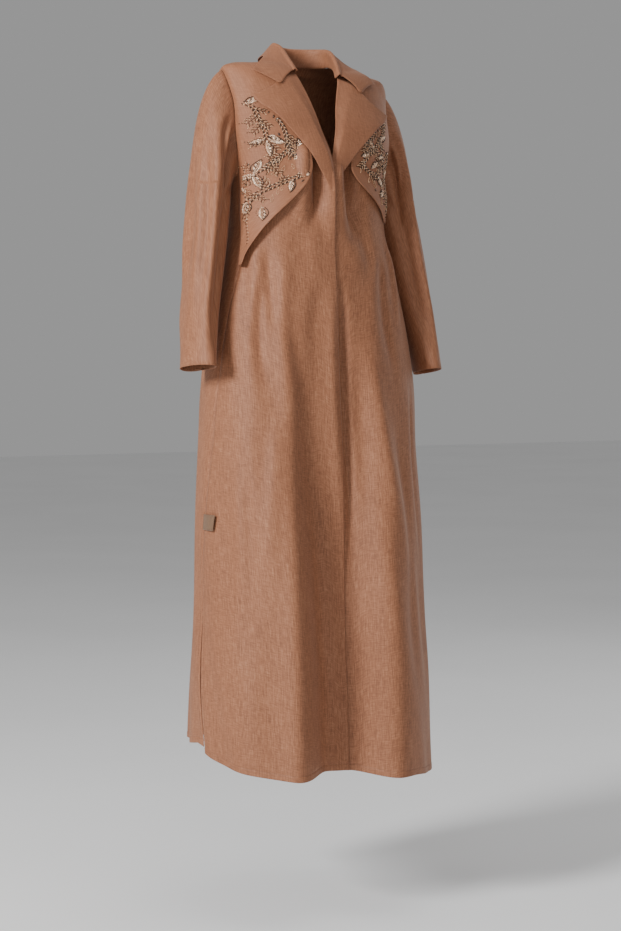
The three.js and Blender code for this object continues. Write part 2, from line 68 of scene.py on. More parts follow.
TIP_Z = -17.0
UNDERARM_Z = -208.0
BREAK_Z = -285.0
HEM_Z = -1305.0
LEFT_SHOULDER_DROP = 0.055
RIGHT_OVER = 3.0
LEFT_UNDER = 20.0
LAP_BLEND = 85.0
GORGE_Z = -22.0

FORM = table(
    "z half left y front back square",
    (8, 58, 0, 2, 40, 54, 2.1), (3, 84, 2, 6, 30, 52, 2.1), (-5, 128, 7, 14, 48, 48, 2.2),
    (-17, 158, 12, 20, 70, 58, 2.3), (-40, 160, 14, 20, 86, 74, 2.35), (-75, 158, 14, 16, 97, 88, 2.4),
    (-125, 157, 13, 8, 108, 100, 2.4), (-205, 150, 4, 2, 114, 106, 2.35),
    (-285, 150, 7, 0, 115, 106, 2.3), (-378, 166, 15, -2, 120, 114, 2.35),
    (-470, 184, 15, -6, 128, 128, 2.35), (-574, 199, 12, -12, 142, 143, 2.35),
    (-711, 211, 2, -17, 160, 161, 2.3), (-845, 219, 0, -21, 182, 181, 2.2),
    (-1000, 222, 0, -24, 202, 198, 2.1), (-1137, 228, 2, -25, 216, 212, 2.05),
    (-1305, 232, 2, -25, 228, 224, 2.05),
)

# Folds down the skirt: ring angle at the top and at the hem, half width in degrees, depth at the hem,
# the height where the fold starts and where it is full, and how flat its floor is
FOLDS = named(
    "top hem width depth start full flat",
    (-95, -97, 18, -78, -360, -1150, 4), (-112, -120, 9, 12, -330, -1150, 2),
    (-70, -70, 10, 7, -330, -1150, 2), (-140, -145, 9, 8, -420, -1100, 2),
    (-38, -40, 11, -7, -400, -1150, 2), (155, 152, 11, -16, -480, -1100, 2),
    (25, 27, 11, -14, -480, -1100, 2), (128, 130, 9, 16, -300, -1000, 2),
    (108, 110, 8, -16, -260, -1000, 2), (90, 90, 9, 18, -260, -1000, 2), (72, 70, 8, -15, -260, -1000, 2),
    (52, 49, 9, 15, -300, -1000, 2),
)

HEM_BEND_FROM = -950.0
# How far the hem rises towards the side seams, and beside two front folds at a ring angle and width
HEM_RISE = {"seam": 44, "left": 10, "valley": 12, "back": 26, "back_seam": 22}
HEM_SPREAD = {"right": 24, "left": 10, "back": 30}
HEM_VALLEY, HEM_LEFT = (-97, 18), (-64, 20)
SLIT_TOP = -884.0
SLIT_OPENING = 4.5

FRONT_SIDE = table(
    "z angle",
    (-17, 0), (-28, 8), (-43, 13), (-60, 15.5), (-85, 17), (-125, 15.5), (-208, 12.5), (-285, 13),
    (-338, 18), (-382, 20.5), (-421, 18.5), (-459, 15.5), (-520, 12.5), (-732, 5.6), (-832, 2), (-930, 0),
    (-1177, 2), (-1305, 6.5),
)
BACK_ARMHOLE = table(
    "z angle",
    (-17, 0), (-28, 8), (-50, 14), (-80, 16), (-120, 13), (-165, 4), (-208, -12.5),
)
ARMHOLE_Z = (TIP_Z + UNDERARM_Z) / 2
ARMHOLE_HALF = (TIP_Z - UNDERARM_Z) / 2

SLEEVE = table(
    "z x y left_out across deep turn",
    (-236, 189, 1, 3, 35, 55, 0), (-330, 203, -9, 4, 34, 54, 2), (-432, 220, -22, 6, 29, 51, 6),
    (-552, 242, -53, 0, 22, 49, 10),
)
RIGHT_ARM_LOWER = 17.0
CUFF_Z = -552.0
UPPER_ARM_Z = -236.0

ROLL = table(
    "z x",
    (-285, -3), (-231, -3), (-190, 0.5), (-129, 14.5), (-77, 26), (-21, 45.5), (-5, 53), (3, 57), (8, 57),
)
LAPEL_EDGE = {
    -1: table(
        "z x",
        (-285, -3), (-257, 0), (-226, 10), (-192, 31), (-168, 46), (-135, 71), (-102, 100), (-89, 116),
        (-73, 127),
    ),
    1: table(
        "z x",
        (-285, -3), (-252, -2), (-232, 3), (-180, 37), (-141, 72), (-113, 103), (-98, 124), (-85, 134),
    ),
}
BIB_EDGE = {
    -1: table(
        "z x",
        (-8, 84), (-60, 70), (-125, 54), (-167, 44), (-191, 41), (-208, 45), (-226, 54), (-252, 74),
        (-289, 104), (-322, 125), (-361, 145), (-383, 152),
    ),
    1: table(
        "z x",
        (-8, 84), (-60, 70), (-125, 54), (-167, 44), (-188, 42), (-205, 50), (-223, 68), (-242, 93),
        (-260, 116), (-275, 130), (-282, 136),
    ),
}
# Collar from the centre back to the gorge: neck seam, crest, middle of the fall, and its edge in plan
COLLAR = named(
    "seam crest middle edge",
    ((0, 55, 9.5), (0, 53, 38), (0, 74, 14), (0, 78)),
    ((29, 48, 10), (27, 46, 39), (38, 66, 15), (41, 73)),
    ((49, 28, 10), (46, 27, 39), (62, 41, 19), (68, 48)),
    ((56, 5, 10), (53, 6, 37), (71, 7, 23), (80, 8)),
    ((55, -13, 6), (52, -15, 29), (74, -16, 17), (90, -16)),
    ((50, -32, -3), (50, -37, 10), (78, -42, -4), (104, -32)),
    ((43, -50, -17), (45, -60, -15), (84, -71, -43), (127, -47)),
)
TAB = {"z": -850.0, "wide": 44.0, "tall": 28.0, "thick": 1.6}

# ---- sizes of the finer cloth ----

CLOTH = 0.9  # thickness of one layer
FACED = 1.7  # thickness of a faced piece: lapel, collar, bib
TAB_CLOTH = 1.2  # thickness of the tab
ROUND_EDGE = 0.45  # how far a rim stands out, as a share of the wall
SIDE_RUN = 0.9  # run of an angle beside the side seams, as a share of the half width
HEM_DEPTH = 11.0  # from the hem's edge up to its line of stitches
HEM_THICKER, HEM_DIP, HEM_DIP_REACH = 0.4, 0.8, 1.5
SEWN_DIP, SEWN_REACH = 1.8, 3.4
WAVE = (640, 150)  # length and width of the cloth's unevenness
WAVE_SIZES = (0.5, 1.4)  # at the chest and on the skirt
BACK_WAVE_FROM = 350  # so that the back's waves aren't the front's
FRONT_FADE, BACK_FADE, WAVE_FADE = (96, 70), (96, 74), (104, 76)  # degrees from the middle: gone, full
SLEEVE_DEGREE = 0.8  # run of one degree round a sleeve
LEFT_LEAN = 0.9  # how far the left sleeve's creases lean, as a share of the right one's
LAPEL_LOWEST = {-1: -281.0, 1: -243.0}
LAPEL_STAND = {-1: 7, 1: 9}
BIB_LOOSE = {-1: 8, 1: 4}
BIB_TOP = -8.0
COLLAR_RESTS = 3 * RIM  # above the shoulders
COLLAR_DROP = 2.6  # of the neck seam, below the part's
FALL_FROM = 0.42  # share of the collar's width where its fall starts
FRAME_INSET, FRAME_REACH, FRAME_DIP = 3.2, 0.8, 0.35  # pressed line round the tab
TAB_CURL = 4

# ---- steps of the grids ----

FRONT_COLUMNS = 104
BACK_COLUMNS = 160
ROW_STEP = 5.2
SLEEVE_AROUND, ARM_ROWS, HEAD_ROWS = 132, 82, 46
LAPEL_COLUMNS, LAPEL_ROWS = 44, 96
BIB_COLUMNS, BIB_STEP = 58, 3.6
COLLAR_AROUND, COLLAR_COLUMNS = 150, 46
TAB_COLUMNS, TAB_ROWS = 45, 30

# ---- sizes of the sewing, in mm ----

STITCH = (2.7, 0.75, 0.6)  # length, width and height
STITCH_PITCH = 3.4
TAB_STITCH = (1.7, 0.6, 0.5)
TAB_PITCH = 2.2
SEAM_INSET = 8
TAB_INSET = 1.6
FRONT_SEWN_TO = {-1: -430.0, 1: SLIT_TOP}
VINE_PITCH, SPRAY_PITCH, EDGE_PITCH = 2.3, 2.9, 3.1
BEADS = {
    "stem": (5.4, 2.1, 2.3),
    "stem_middle": (2.4, 2.0, 2.8),
    "spray_stem": (3.6, 1.7, 1.8),
    "leaf_middle": (2.6, 2.0, 3.0),
    "leaf_near_edge": (3.4, 2.3, 2.0),
    "leaf_far_edge": (2.2, 1.4, 1.6),
    "leaf_tip": (3.0, 1.6, 1.7),
    "drop": (2.3, 1.3, 1.5),
    "edge": (3.4, 1.8, 2.0),
}
LEAF_SCALE = 1.3
OVAL_SIDES = 6
OVAL_BELTS = ((-0.35, 0.92), (0.5, 0.82))  # height and radius as shares of the half sizes

# ---- the beaded vines: places on the bib's face by distance from the centre line and height ----

VINES = {
    -1: (
        ((141, -84), (130, -92), (124, -112), (117, -132), (114, -150)),
        ((95, -112), (86, -130), (82, -150), (76, -168), (64, -182)),
        ((80, -166), (98, -184), (114, -198), (131, -212)),
        ((62, -184), (57, -198), (64, -212), (86, -224), (108, -236), (128, -250), (141, -272)),
    ),
    1: (
        ((140, -92), (131, -112), (116, -132), (98, -148), (80, -162)),
        ((116, -134), (124, -160), (128, -190), (134, -222), (138, -262)),
        ((108, -118), (92, -132), (74, -146)),
        ((80, -164), (70, -180), (84, -192), (104, -196)),
    ),
}
# Fern-like sprays of short curved stitches: from, to, reach in mm
SPRAY_NAMES = "x0 z0 x1 z1 reach"
SPRAYS = {
    -1: named(
        SPRAY_NAMES,
        (124, -106, 141, -124, 6), (119, -120, 134, -140, 5), (122, -116, 108, -128, 5),
        (128, -96, 114, -100, 4), (84, -142, 62, -160, 7), (82, -150, 74, -178, 8),
        (92, -180, 112, -186, 8), (98, -186, 118, -206, 7), (66, -214, 52, -204, 5),
        (114, -150, 138, -160, 6), (112, -156, 98, -170, 6), (66, -176, 50, -186, 5),
        (108, -196, 96, -212, 6), (128, -214, 142, -232, 6), (132, -208, 143, -196, 5),
        (94, -229, 88, -214, 5), (112, -238, 122, -222, 6), (128, -250, 116, -262, 5),
        (142, -240, 130, -262, 5), (138, -268, 144, -300, 5),
    ),
    1: named(
        SPRAY_NAMES,
        (132, -112, 122, -98, 5), (98, -148, 84, -140, 6), (96, -150, 74, -160, 8),
        (124, -164, 104, -170, 7), (126, -182, 140, -172, 6), (128, -200, 112, -214, 6),
        (104, -196, 112, -184, 6), (86, -192, 98, -206, 6), (72, -176, 60, -188, 6),
        (96, -146, 108, -158, 7), (84, -138, 74, -156, 6), (110, -126, 122, -146, 6),
        (134, -150, 142, -170, 5), (120, -176, 106, -184, 6), (136, -222, 122, -228, 6),
        (124, -236, 112, -226, 5), (136, -236, 126, -248, 5),
    ),
}
LEAF_NAMES = "x z turn length width"
LEAVES = {
    -1: named(
        LEAF_NAMES,
        (139, -86, 150, 19, 8), (112, -150, -170, 20, 9), (114, -152, -100, 22, 7),
        (118, -151, -20, 16, 6), (96, -148, 20, 12, 6), (64, -160, 118, 21, 9), (72, -184, 142, 14, 5),
        (131, -212, 110, 20, 9), (132, -214, -112, 21, 9), (129, -213, -30, 15, 8),
        (76, -220, -78, 18, 7), (58, -206, -150, 10, 5), (138, -246, 40, 13, 7), (138, -264, -82, 17, 7),
        (120, -272, -90, 19, 10),
    ),
    1: named(
        LEAF_NAMES,
        (138, -96, 160, 14, 6), (118, -130, 30, 14, 6), (96, -146, 128, 12, 5), (82, -160, -160, 12, 5),
        (104, -172, -140, 15, 6), (124, -158, 200, 12, 5), (130, -196, 60, 13, 6),
        (106, -198, -60, 15, 7), (118, -222, -120, 12, 6), (134, -228, -30, 11, 5),
    ),
}
# Open drops in pale thread
DROPS = {
    -1: named(
        LEAF_NAMES,
        (98, -236, -84, 13, 5), (92, -232, -80, 10, 4), (106, -250, -80, 13, 5), (88, -196, -70, 10, 6),
        (76, -192, -110, 9, 5), (122, -286, 92, 16, 3), (110, -228, 60, 8, 4), (100, -210, -20, 9, 5),
    ),
    1: named(
        LEAF_NAMES,
        (92, -208, -60, 12, 6), (84, -202, -110, 10, 5), (112, -238, -70, 11, 5),
        (118, -112, -110, 10, 4), (72, -172, -130, 8, 4),
    ),
}
# Single dark drops
SEEDS = {
    -1: named(
        LEAF_NAMES,
        (115, -96, -40, 5, 2.4), (108, -101, -50, 5, 2.4), (101, -108, -70, 6, 3), (97, -114, -80, 6, 3),
        (95, -140, -110, 6, 3.4), (66, -152, 20, 6, 2), (139, -232, -60, 6, 2.2), (60, -222, -40, 6, 2.4),
        (137, -196, -60, 5, 2),
    ),
    1: named(
        LEAF_NAMES,
        (120, -104, -50, 5, 2.4), (114, -112, -60, 5, 2.4), (86, -150, -60, 5, 2.4),
        (140, -150, -80, 6, 2.4), (141, -204, -80, 6, 2.4), (96, -224, -50, 5, 2.2),
    ),
}
EDGE_BEADS = {
    -1: ((142, -206), (140, -262), (140, -300), (141, -335), (146, -368)),
    1: ((146, -146), (143, -200), (140, -250), (136, -272)),
}

# ---- small tools ----


def lerp(a, b, t):
    return a + (b - a) * t


def smooth(start, end, v):
    t = np.clip((v - start) / (end - start), 0, 1)
    return t * t * (3 - 2 * t)


def bell(distance, width, flat=2):
    """1 at no distance, falling away over a width. A larger flat gives a flatter top and steeper sides."""
    return np.exp(-((distance / width) ** flat))


def power(v, exponent):
    return np.sign(v) * np.abs(v) ** exponent


def unit(v):
    return v / np.maximum(np.linalg.norm(v, axis=-1, keepdims=True), 1e-9)


def run_along(line):
    """Distance of each point of a line from its start, along it."""
    return np.concatenate([[0], np.cumsum(np.linalg.norm(np.diff(line, axis=0), axis=1))])


def along_line(line, run, at):
    """Points of a line at distances along it."""
    return np.stack([np.interp(at, run, line[:, k]) for k in range(line.shape[1])], -1)


def angle_from(phi, centre):
    return (phi - centre + 180) % 360 - 180


def column(rows, name, z):
    """A table's column at height z, on a smooth curve that never overshoots its rows."""
    zs, vs = rows["z"], rows[name]
    rate = np.diff(vs) / np.diff(zs)
    inner = np.zeros(len(rate) - 1)
    bends = rate[:-1] * rate[1:] > 0
    inner[bends] = 2 * (rate[:-1] * rate[1:])[bends] / (rate[:-1] + rate[1:])[bends]
    slope = np.concatenate([rate[:1], inner, rate[-1:]])
    z = np.clip(z, zs[0], zs[-1])
    k = np.clip(np.searchsorted(zs, z, side="right") - 1, 0, len(zs) - 2)
    span = zs[k + 1] - zs[k]
    t = (z - zs[k]) / span
    bend = t * t * (3 - 2 * t)
    ends = span * (slope[k] * t * (1 - t) ** 2 - slope[k + 1] * t * t * (1 - t))
    return vs[k] + (vs[k + 1] - vs[k]) * bend + ends


# ---- the body form ----


def half_width(z, toward_left):
    return column(FORM, "half", z) + np.where(toward_left > 0, column(FORM, "left", z), 0)


def ring(phi, z):
    cosine, sine = np.cos(np.radians(phi)), np.sin(np.radians(phi))
    exponent = 2 / column(FORM, "square", z)
    reach = np.where(sine < 0, column(FORM, "front", z), column(FORM, "back", z))
    return half_width(z, cosine) * power(cosine, exponent), reach * power(sine, exponent)


def fold_depth(phi, z):
    depth = 0.0
    for fold in FOLDS:
        grown = smooth(fold["start"], fold["full"], z)
        centre = lerp(fold["top"], fold["hem"], grown)
        away = np.abs(angle_from(phi, centre))
        depth = depth + fold["depth"] * grown * bell(away, fold["width"], fold["flat"])
    return depth


# Creases of the body: from one place to another, half width, depth (out is positive) and wander.
# A place on the front is given in the front view, one on the back by the distance round from its centre.
CREASE_NAMES = "x0 z0 x1 z1 width depth wander"
FRONT_CREASES = named(
    CREASE_NAMES,
    (-30, -138, -40, -330, 13, -29, 1), (-54, -190, -72, -440, 22, -2.5, 3),
    (-17, -225, -24, -420, 10, -2, 2), (41, -148, 52, -350, 12, -25, 1), (64, -205, 82, -430, 14, -6, 4),
    (12, -380, 18, -1000, 8, -12, 3), (-132, -330, -118, -540, 16, -5, 3),
    (-148, -392, -152, -640, 12, -5, 4), (-104, -330, -100, -700, 18, 5, 6),
    (-84, -420, -92, -900, 18, -3, 8), (-140, -620, -160, -1150, 18, 4, 8),
    (-176, -700, -196, -1240, 15, -4, 5), (104, -330, 118, -620, 15, -6, 5),
    (138, -300, 150, -520, 12, 5, 4), (70, -480, 84, -980, 17, 4, 7), (118, -640, 140, -1200, 17, -5, 7),
    (166, -560, 184, -1000, 14, -5, 5), (40, -520, 44, -1100, 12, -3, 5),
    (-30, -380, -60, -700, 16, -3, 4),
)
BACK_CREASES = named(
    CREASE_NAMES,
    (-62, -60, -96, -210, 14, -5, 4), (68, -70, 104, -220, 15, -5, 4), (-140, -190, -60, -330, 14, -5, 5),
    (146, -205, 70, -350, 14, -5, 5), (-20, -120, -26, -420, 20, 4, 6), (30, -260, 22, -560, 16, -4, 5),
    (-92, -420, -112, -860, 17, -5, 7), (84, -460, 98, -900, 18, -5, 7),
    (-180, -380, -196, -760, 15, 5, 6), (176, -420, 188, -840, 16, 5, 6),
    (-44, -640, -38, -1180, 15, -4, 6), (52, -700, 60, -1240, 14, 4, 6),
)


# A crease's line makes waves, it comes in and goes out over shares of its length, its width spreads from
# one share to another, and the cloth thrown up on one side has a share of its depth, so many widths off
BODY_LOOK = {"waves": 2.3, "comes": 0.22, "goes": 0.45, "spread": (0.8, 1.25), "thrown": 0.4, "off": 1.9}
SLEEVE_LOOK = {"waves": 2.1, "comes": 0.3, "goes": 0.6, "spread": (1, 1), "thrown": 0.35, "off": 1.8}
THROWN_WIDTH = 1.3


def crease_depth(crease, look, across, along, way, phase):
    """A soft trough or ridge along a way from its start, with its cloth thrown up on one side."""
    length = np.hypot(*way)
    way = way / length
    t = (across * way[0] + along * way[1]) / length
    aside = across * way[1] - along * way[0]
    aside = aside + crease["wander"] * np.sin(look["waves"] * np.pi * t + phase)
    width = crease["width"] * lerp(*look["spread"], np.clip(t, 0, 1))
    fade = smooth(0, look["comes"], t) * smooth(1, look["goes"], t)
    thrown = look["thrown"] * bell(aside - look["off"] * width, THROWN_WIDTH * width)
    return crease["depth"] * fade * (bell(aside, width) - thrown)


def body_crease(crease, across, z):
    way = np.array([crease["x1"] - crease["x0"], crease["z1"] - crease["z0"]], float)
    phase = 0.11 * crease["z0"]
    return crease_depth(crease, BODY_LOOK, across - crease["x0"], z - crease["z0"], way, phase)


def ripple(across, along, size, tall, wide):
    """Slight unevenness of hanging cloth: long waves that don't repeat."""
    total = 0.0
    for k in range(9):
        turn = 2 * np.pi * ((k * 0.618) % 1)
        stretch = 0.6 + 0.19 * k
        tilt = 0.4 * np.sin(1.7 * k + 0.6)
        place = across / wide * stretch + along / tall * (stretch + tilt)
        total = total + np.sin(2 * np.pi * place + turn)
    return size * total / 3


def round_place(phi, z, centre):
    """Distance round the form from a ring angle, in mm."""
    return np.radians(angle_from(phi, centre)) * column(FORM, "half", z)


def front_place(crease):
    """A front crease with its ends given as distances round from the centre front."""
    moved = dict(crease)
    for x, z in (("x0", "z0"), ("x1", "z1")):
        turn = 90 + front_angle(abs(crease[x]), crease[z], 1)
        moved[x] = float(round_place(-90 + np.sign(crease[x]) * turn, crease[z], -90))
    return moved


def front_angle(x, z, side):
    """Ring angle on the front at a distance x from the centre line, as if on the wearer's left."""
    share = np.clip(x / half_width(z, side * x), -1, 1)
    return -np.degrees(np.arccos(power(share, column(FORM, "square", z) / 2)))


FRONT_CREASES = [front_place(crease) for crease in FRONT_CREASES]


def relief(phi, z):
    """Depth of the finer creases; the front ones fade out at the side seams, the back ones too."""
    on_front = np.abs(angle_from(phi, -90))
    on_back = np.abs(angle_from(phi, 90))
    front = round_place(phi, z, -90)
    back = round_place(phi, z, 90)
    ahead = sum(body_crease(crease, front, z) for crease in FRONT_CREASES)
    behind = sum(body_crease(crease, back, z) for crease in BACK_CREASES)
    total = ahead * smooth(*FRONT_FADE, on_front) + behind * smooth(*BACK_FADE, on_back)
    size = lerp(*WAVE_SIZES, smooth(-300, -900, z))
    wave = ripple(front, z, size, *WAVE) * smooth(*WAVE_FADE, on_front)
    wave = wave + ripple(back + BACK_WAVE_FROM, z, size, *WAVE) * smooth(*WAVE_FADE, on_back)
    seamless = smooth(-30, -110, z)
    return (total + wave * smooth(-60, -160, z)) * seamless


def form_point(phi, z, fine=True):
    phi, z = np.broadcast_arrays(np.asarray(phi, float), np.asarray(z, float))
    x, y = ring(phi, z)
    x1, y1 = ring(phi + 0.5, z)
    x0, y0 = ring(phi - 0.5, z)
    along = np.maximum(np.hypot(x1 - x0, y1 - y0), 1e-9)
    depth = fold_depth(phi, z)
    if fine:
        depth = depth + relief(phi, z)
    return np.stack(
        [x + (y1 - y0) / along * depth, column(FORM, "y", z) + y - (x1 - x0) / along * depth, z], -1
    )


def form_normal(phi, z, fine=True):
    phi, z = np.broadcast_arrays(np.asarray(phi, float), np.asarray(z, float))
    across = form_point(phi + 1, z, fine) - form_point(phi - 1, z, fine)
    up = form_point(phi, z + 1.5, fine) - form_point(phi, z - 1.5, fine)
    return unit(np.cross(across, up))


def on_form(phi, z, lift, fine=True):
    lift = np.asarray(lift, float)
    return form_point(phi, z, fine) + form_normal(phi, z, fine) * lift[..., None]


def mirrored(phi, side):
    return phi if side > 0 else -180 - phi


def facing(grid, side):
    """A grid made as if on the wearer's left, turned so that its face stays outward on the right."""
    return grid if side > 0 else grid[:, ::-1]


def shifted(phi, z, distance):
    per_degree = np.linalg.norm(
        form_point(phi + 0.5, z, False) - form_point(phi - 0.5, z, False), axis=-1
    )
    return phi + distance / per_degree


def front_side_angle(z):
    return np.where(z > TIP_Z, 0, -column(FRONT_SIDE, "angle", z))


def back_side_angle(z):
    in_armhole = (z > UNDERARM_Z) & (z < TIP_Z)
    return np.where(in_armhole, column(BACK_ARMHOLE, "angle", z), front_side_angle(z))


def hem_rise(phi, z, on_back=False):
    from_right = np.abs(angle_from(phi, 180))
    from_left = np.abs(angle_from(phi, 0))
    valley = HEM_RISE["valley"] * bell(angle_from(phi, HEM_VALLEY[0]), HEM_VALLEY[1], 4)
    corners = np.exp(-from_right / HEM_SPREAD["right"]) + np.exp(-from_left / HEM_SPREAD["left"])
    left = HEM_RISE["left"] * bell(angle_from(phi, HEM_LEFT[0]), HEM_LEFT[1])
    front = HEM_RISE["seam"] * corners + left + valley
    back_corners = np.exp(-np.minimum(from_right, from_left) / HEM_SPREAD["back"])
    back = HEM_RISE["back"] + HEM_RISE["back_seam"] * back_corners
    return (back if on_back else front) * smooth(HEM_BEND_FROM, HEM_Z, z)


def hung(points, phi, on_back=False):
    points = points.copy()
    points[..., 2] += hem_rise(phi, points[..., 2], on_back)
    return points


def posed(points):
    """Lowers the left shoulder and all that hangs from it."""
    points = points.copy()
    points[..., 2] -= LEFT_SHOULDER_DROP * points[..., 0]
    return points


def seam_half_gap(z):
    return SEAM_GAP / 2 + (SLIT_OPENING / 2) * smooth(SLIT_TOP, HEM_Z, z)


def even_heights(low, high, step):
    """Heights from low to high that are evenly spaced along the cloth."""
    z = np.linspace(low, high, 600)
    points = form_point(np.full_like(z, -50.0), z, False)
    run = run_along(points)
    return np.interp(np.linspace(0, run[-1], max(2, round(run[-1] / step) + 1)), run, z)


def body_heights(low, high, step):
    stops = [low, *[z for z in (UNDERARM_Z, TIP_Z) if low < z < high], high]
    parts = [even_heights(a, b, step)[:-1] for a, b in zip(stops, stops[1:])]
    return np.concatenate([*parts, [high]])


def skirt_heights():
    """All rows of a body piece, closer together over the turned-up hem."""
    hem = HEM_Z + np.linspace(0, HEM_DEPTH + 8, 14)
    return np.concatenate([hem[:-1], body_heights(hem[-1], 7.5, ROW_STEP)])


def hem_fold(z):
    """The turned-up edge is thicker, and drawn in along its line of stitches."""
    dip = HEM_DIP * bell(z - HEM_Z - HEM_DEPTH, HEM_DIP_REACH)
    return HEM_THICKER * smooth(HEM_DEPTH + 2, HEM_DEPTH, z - HEM_Z) - dip


# ---- meshes ----


def make_object(name, points, faces, corner_uv, material):
    mesh = bpy.data.meshes.new(name)
    mesh.from_pydata((points * MM).tolist(), [], [list(map(int, face)) for face in faces])
    layer = mesh.uv_layers.new(name="weave")
    layer.data.foreach_set("uv", np.asarray(corner_uv, np.float32).ravel())
    mesh.materials.append(material)
    mesh.polygons.foreach_set("use_smooth", np.ones(len(mesh.polygons), bool))
    mesh.update()
    thing = bpy.data.objects.new(name, mesh)
    bpy.context.scene.collection.objects.link(thing)
    return thing


def grid_normals(grid, closed):
    across = np.roll(grid, -1, 1) - np.roll(grid, 1, 1) if closed else np.gradient(grid, axis=1)
    return unit(np.cross(across, np.gradient(grid, axis=0)))


def cloth_lengths(grid, closed):
    """Distances across and along the cloth at each grid point, in metres, for the weave."""
    wide = np.concatenate([grid, grid[:, :1]], 1) if closed else grid
    across = np.zeros(wide.shape[:2])
    across[:, 1:] = np.cumsum(np.linalg.norm(np.diff(wide, axis=1), axis=2), axis=1)
    along = np.zeros(wide.shape[:2])
    along[1:] = np.cumsum(np.linalg.norm(np.diff(wide, axis=0), axis=2), axis=0)
    along = along[-1:].mean() + (along - along[-1:])
    return np.stack([across, along], -1) * MM


def shell(name, grid, wall, material, closed=False, grain=0.0, place=(0.0, 0.0), anchor="first"):
    """A closed thin wall under a grid of outer points, with round edges and the weave's coordinates."""
    rows, columns = grid.shape[:2]
    inner = grid - grid_normals(grid, closed) * wall
    lengths = cloth_lengths(grid, closed)
    if anchor == "last":
        lengths[..., 0] = lengths[..., 0].max() - (lengths[:, -1:, 0] - lengths[..., 0])
    if anchor == "middle":
        lengths[..., 0] -= lengths[:, lengths.shape[1] // 2, None, 0]
    turn = math.radians(grain)
    spin = np.array([[math.cos(turn), math.sin(turn)], [-math.sin(turn), math.cos(turn)]])
    weave = lengths @ spin + np.array(place)
    steps = columns if closed else columns - 1
    j, i = np.meshgrid(np.arange(rows - 1), np.arange(steps), indexing="ij")
    j, i = j.ravel(), i.ravel()

    def index(row, col):
        return row * columns + col % columns

    corners = ((j, i), (j, i + 1), (j + 1, i + 1), (j + 1, i))
    outside = np.stack([index(*corner) for corner in corners], 1)
    outside_uv = np.stack([weave[corner] for corner in corners], 1)
    inside = outside[:, ::-1] + rows * columns
    faces, uvs = [outside, inside], [outside_uv, outside_uv[:, ::-1]]
    points = [grid.reshape(-1, 3), inner.reshape(-1, 3)]
    count = 2 * rows * columns
    for (row, col), within in edge_loops(rows, columns, closed):
        there, under = grid[row, col], inner[row, col]
        rim = (there + under) / 2 + unit(there - grid[within]) * wall * ROUND_EDGE
        size = len(row)
        ahead = np.roll(np.arange(size), -1)
        top = index(row, col)
        middle = count + np.arange(size)
        bottom = top + rows * columns
        faces += [np.stack([top[ahead], top, middle, middle[ahead]], 1)]
        faces += [np.stack([middle[ahead], middle, bottom, bottom[ahead]], 1)]
        edge = weave[row, col]
        around = np.stack([edge[ahead], edge, edge, edge[ahead]], 1)
        uvs += [around, around]
        points.append(rim)
        count += size
    corner_uv = np.concatenate(uvs).reshape(-1, 2)
    return make_object(name, posed(np.concatenate(points)), np.concatenate(faces), corner_uv, material)


def edge_loops(rows, columns, closed):
    """The rims of a grid as (row, column) arrays, each with the grid place just inside it."""
    if closed:
        col = np.arange(columns)
        low, high = np.zeros(columns, int), np.full(columns, rows - 1)
        return [((low, col), (low + 1, col)), ((high, col[::-1]), (high - 1, col[::-1]))]
    r, c = rows - 1, columns - 1
    row = np.concatenate([np.zeros(c), np.arange(r), np.full(c, r), np.arange(r, 0, -1)]).astype(int)
    col = np.concatenate([np.arange(c), np.full(r, c), np.arange(c, 0, -1), np.zeros(r)]).astype(int)
    return [((row, col), (np.clip(row, 1, r - 1), np.clip(col, 1, c - 1)))]


# ---- materials ----


class Nodes:
    """A material's node tree, with each node made and linked in one line."""

    def __init__(self, name):
        self.material = bpy.data.materials.new(name)
        self.material.use_nodes = True
        self.tree = self.material.node_tree
        self.shader = self.tree.nodes["Principled BSDF"]

    def add(self, kind, inputs=None, **settings):
        made = self.tree.nodes.new(kind)
        for key, value in settings.items():
            setattr(made, key, value)
        for key, value in (inputs or {}).items():
            if isinstance(value, bpy.types.NodeSocket):
                self.tree.links.new(value, made.inputs[key])
            else:
                made.inputs[key].default_value = value
        return made

    def noise(self, coordinates, scale, detail, roughness):
        """Noise with its own scale across and along the cloth, in features per metre."""
        spread = self.add("ShaderNodeMapping", {"Vector": coordinates, "Scale": (*scale, 1.0)})
        inputs = {"Vector": spread.outputs[0], "Scale": 1.0, "Detail": detail, "Roughness": roughness}
        return self.add("ShaderNodeTexNoise", inputs, noise_dimensions="2D").outputs["Fac"]

    def math(self, operation, first, second):
        return self.add("ShaderNodeMath", {0: first, 1: second}, operation=operation).outputs[0]

    def mix(self, factor, first, second):
        return self.add("ShaderNodeMix", {0: factor, 6: first, 7: second}, data_type="RGBA").outputs[2]

    def ramp(self, value, low, high, to_low=0.0, to_high=1.0):
        inputs = {"Value": value, "From Min": low, "From Max": high, "To Min": to_low, "To Max": to_high}
        return self.add("ShaderNodeMapRange", inputs).outputs[0]

    def crossed(self, warp, weft, low, high, warp_reach, weft_reach, share):
        """Warp and weft as one change to both sides of zero."""
        warp = self.ramp(warp, low, high, -warp_reach, warp_reach)
        weft = self.ramp(weft, low, high, -weft_reach, weft_reach)
        return self.math("MULTIPLY", self.math("ADD", warp, weft), share)

    def weave(self):
        return self.add("ShaderNodeUVMap", uv_map="weave").outputs[0]

    def finish(self, color, height, strength, depth, **inputs):
        bump = self.add("ShaderNodeBump", {"Height": height, "Strength": strength, "Distance": depth})
        self.tree.links.new(bump.outputs[0], self.shader.inputs["Normal"])
        self.tree.links.new(color, self.shader.inputs["Base Color"])
        for key, value in inputs.items():
            self.shader.inputs[key.replace("_", " ")].default_value = value
        return self.material


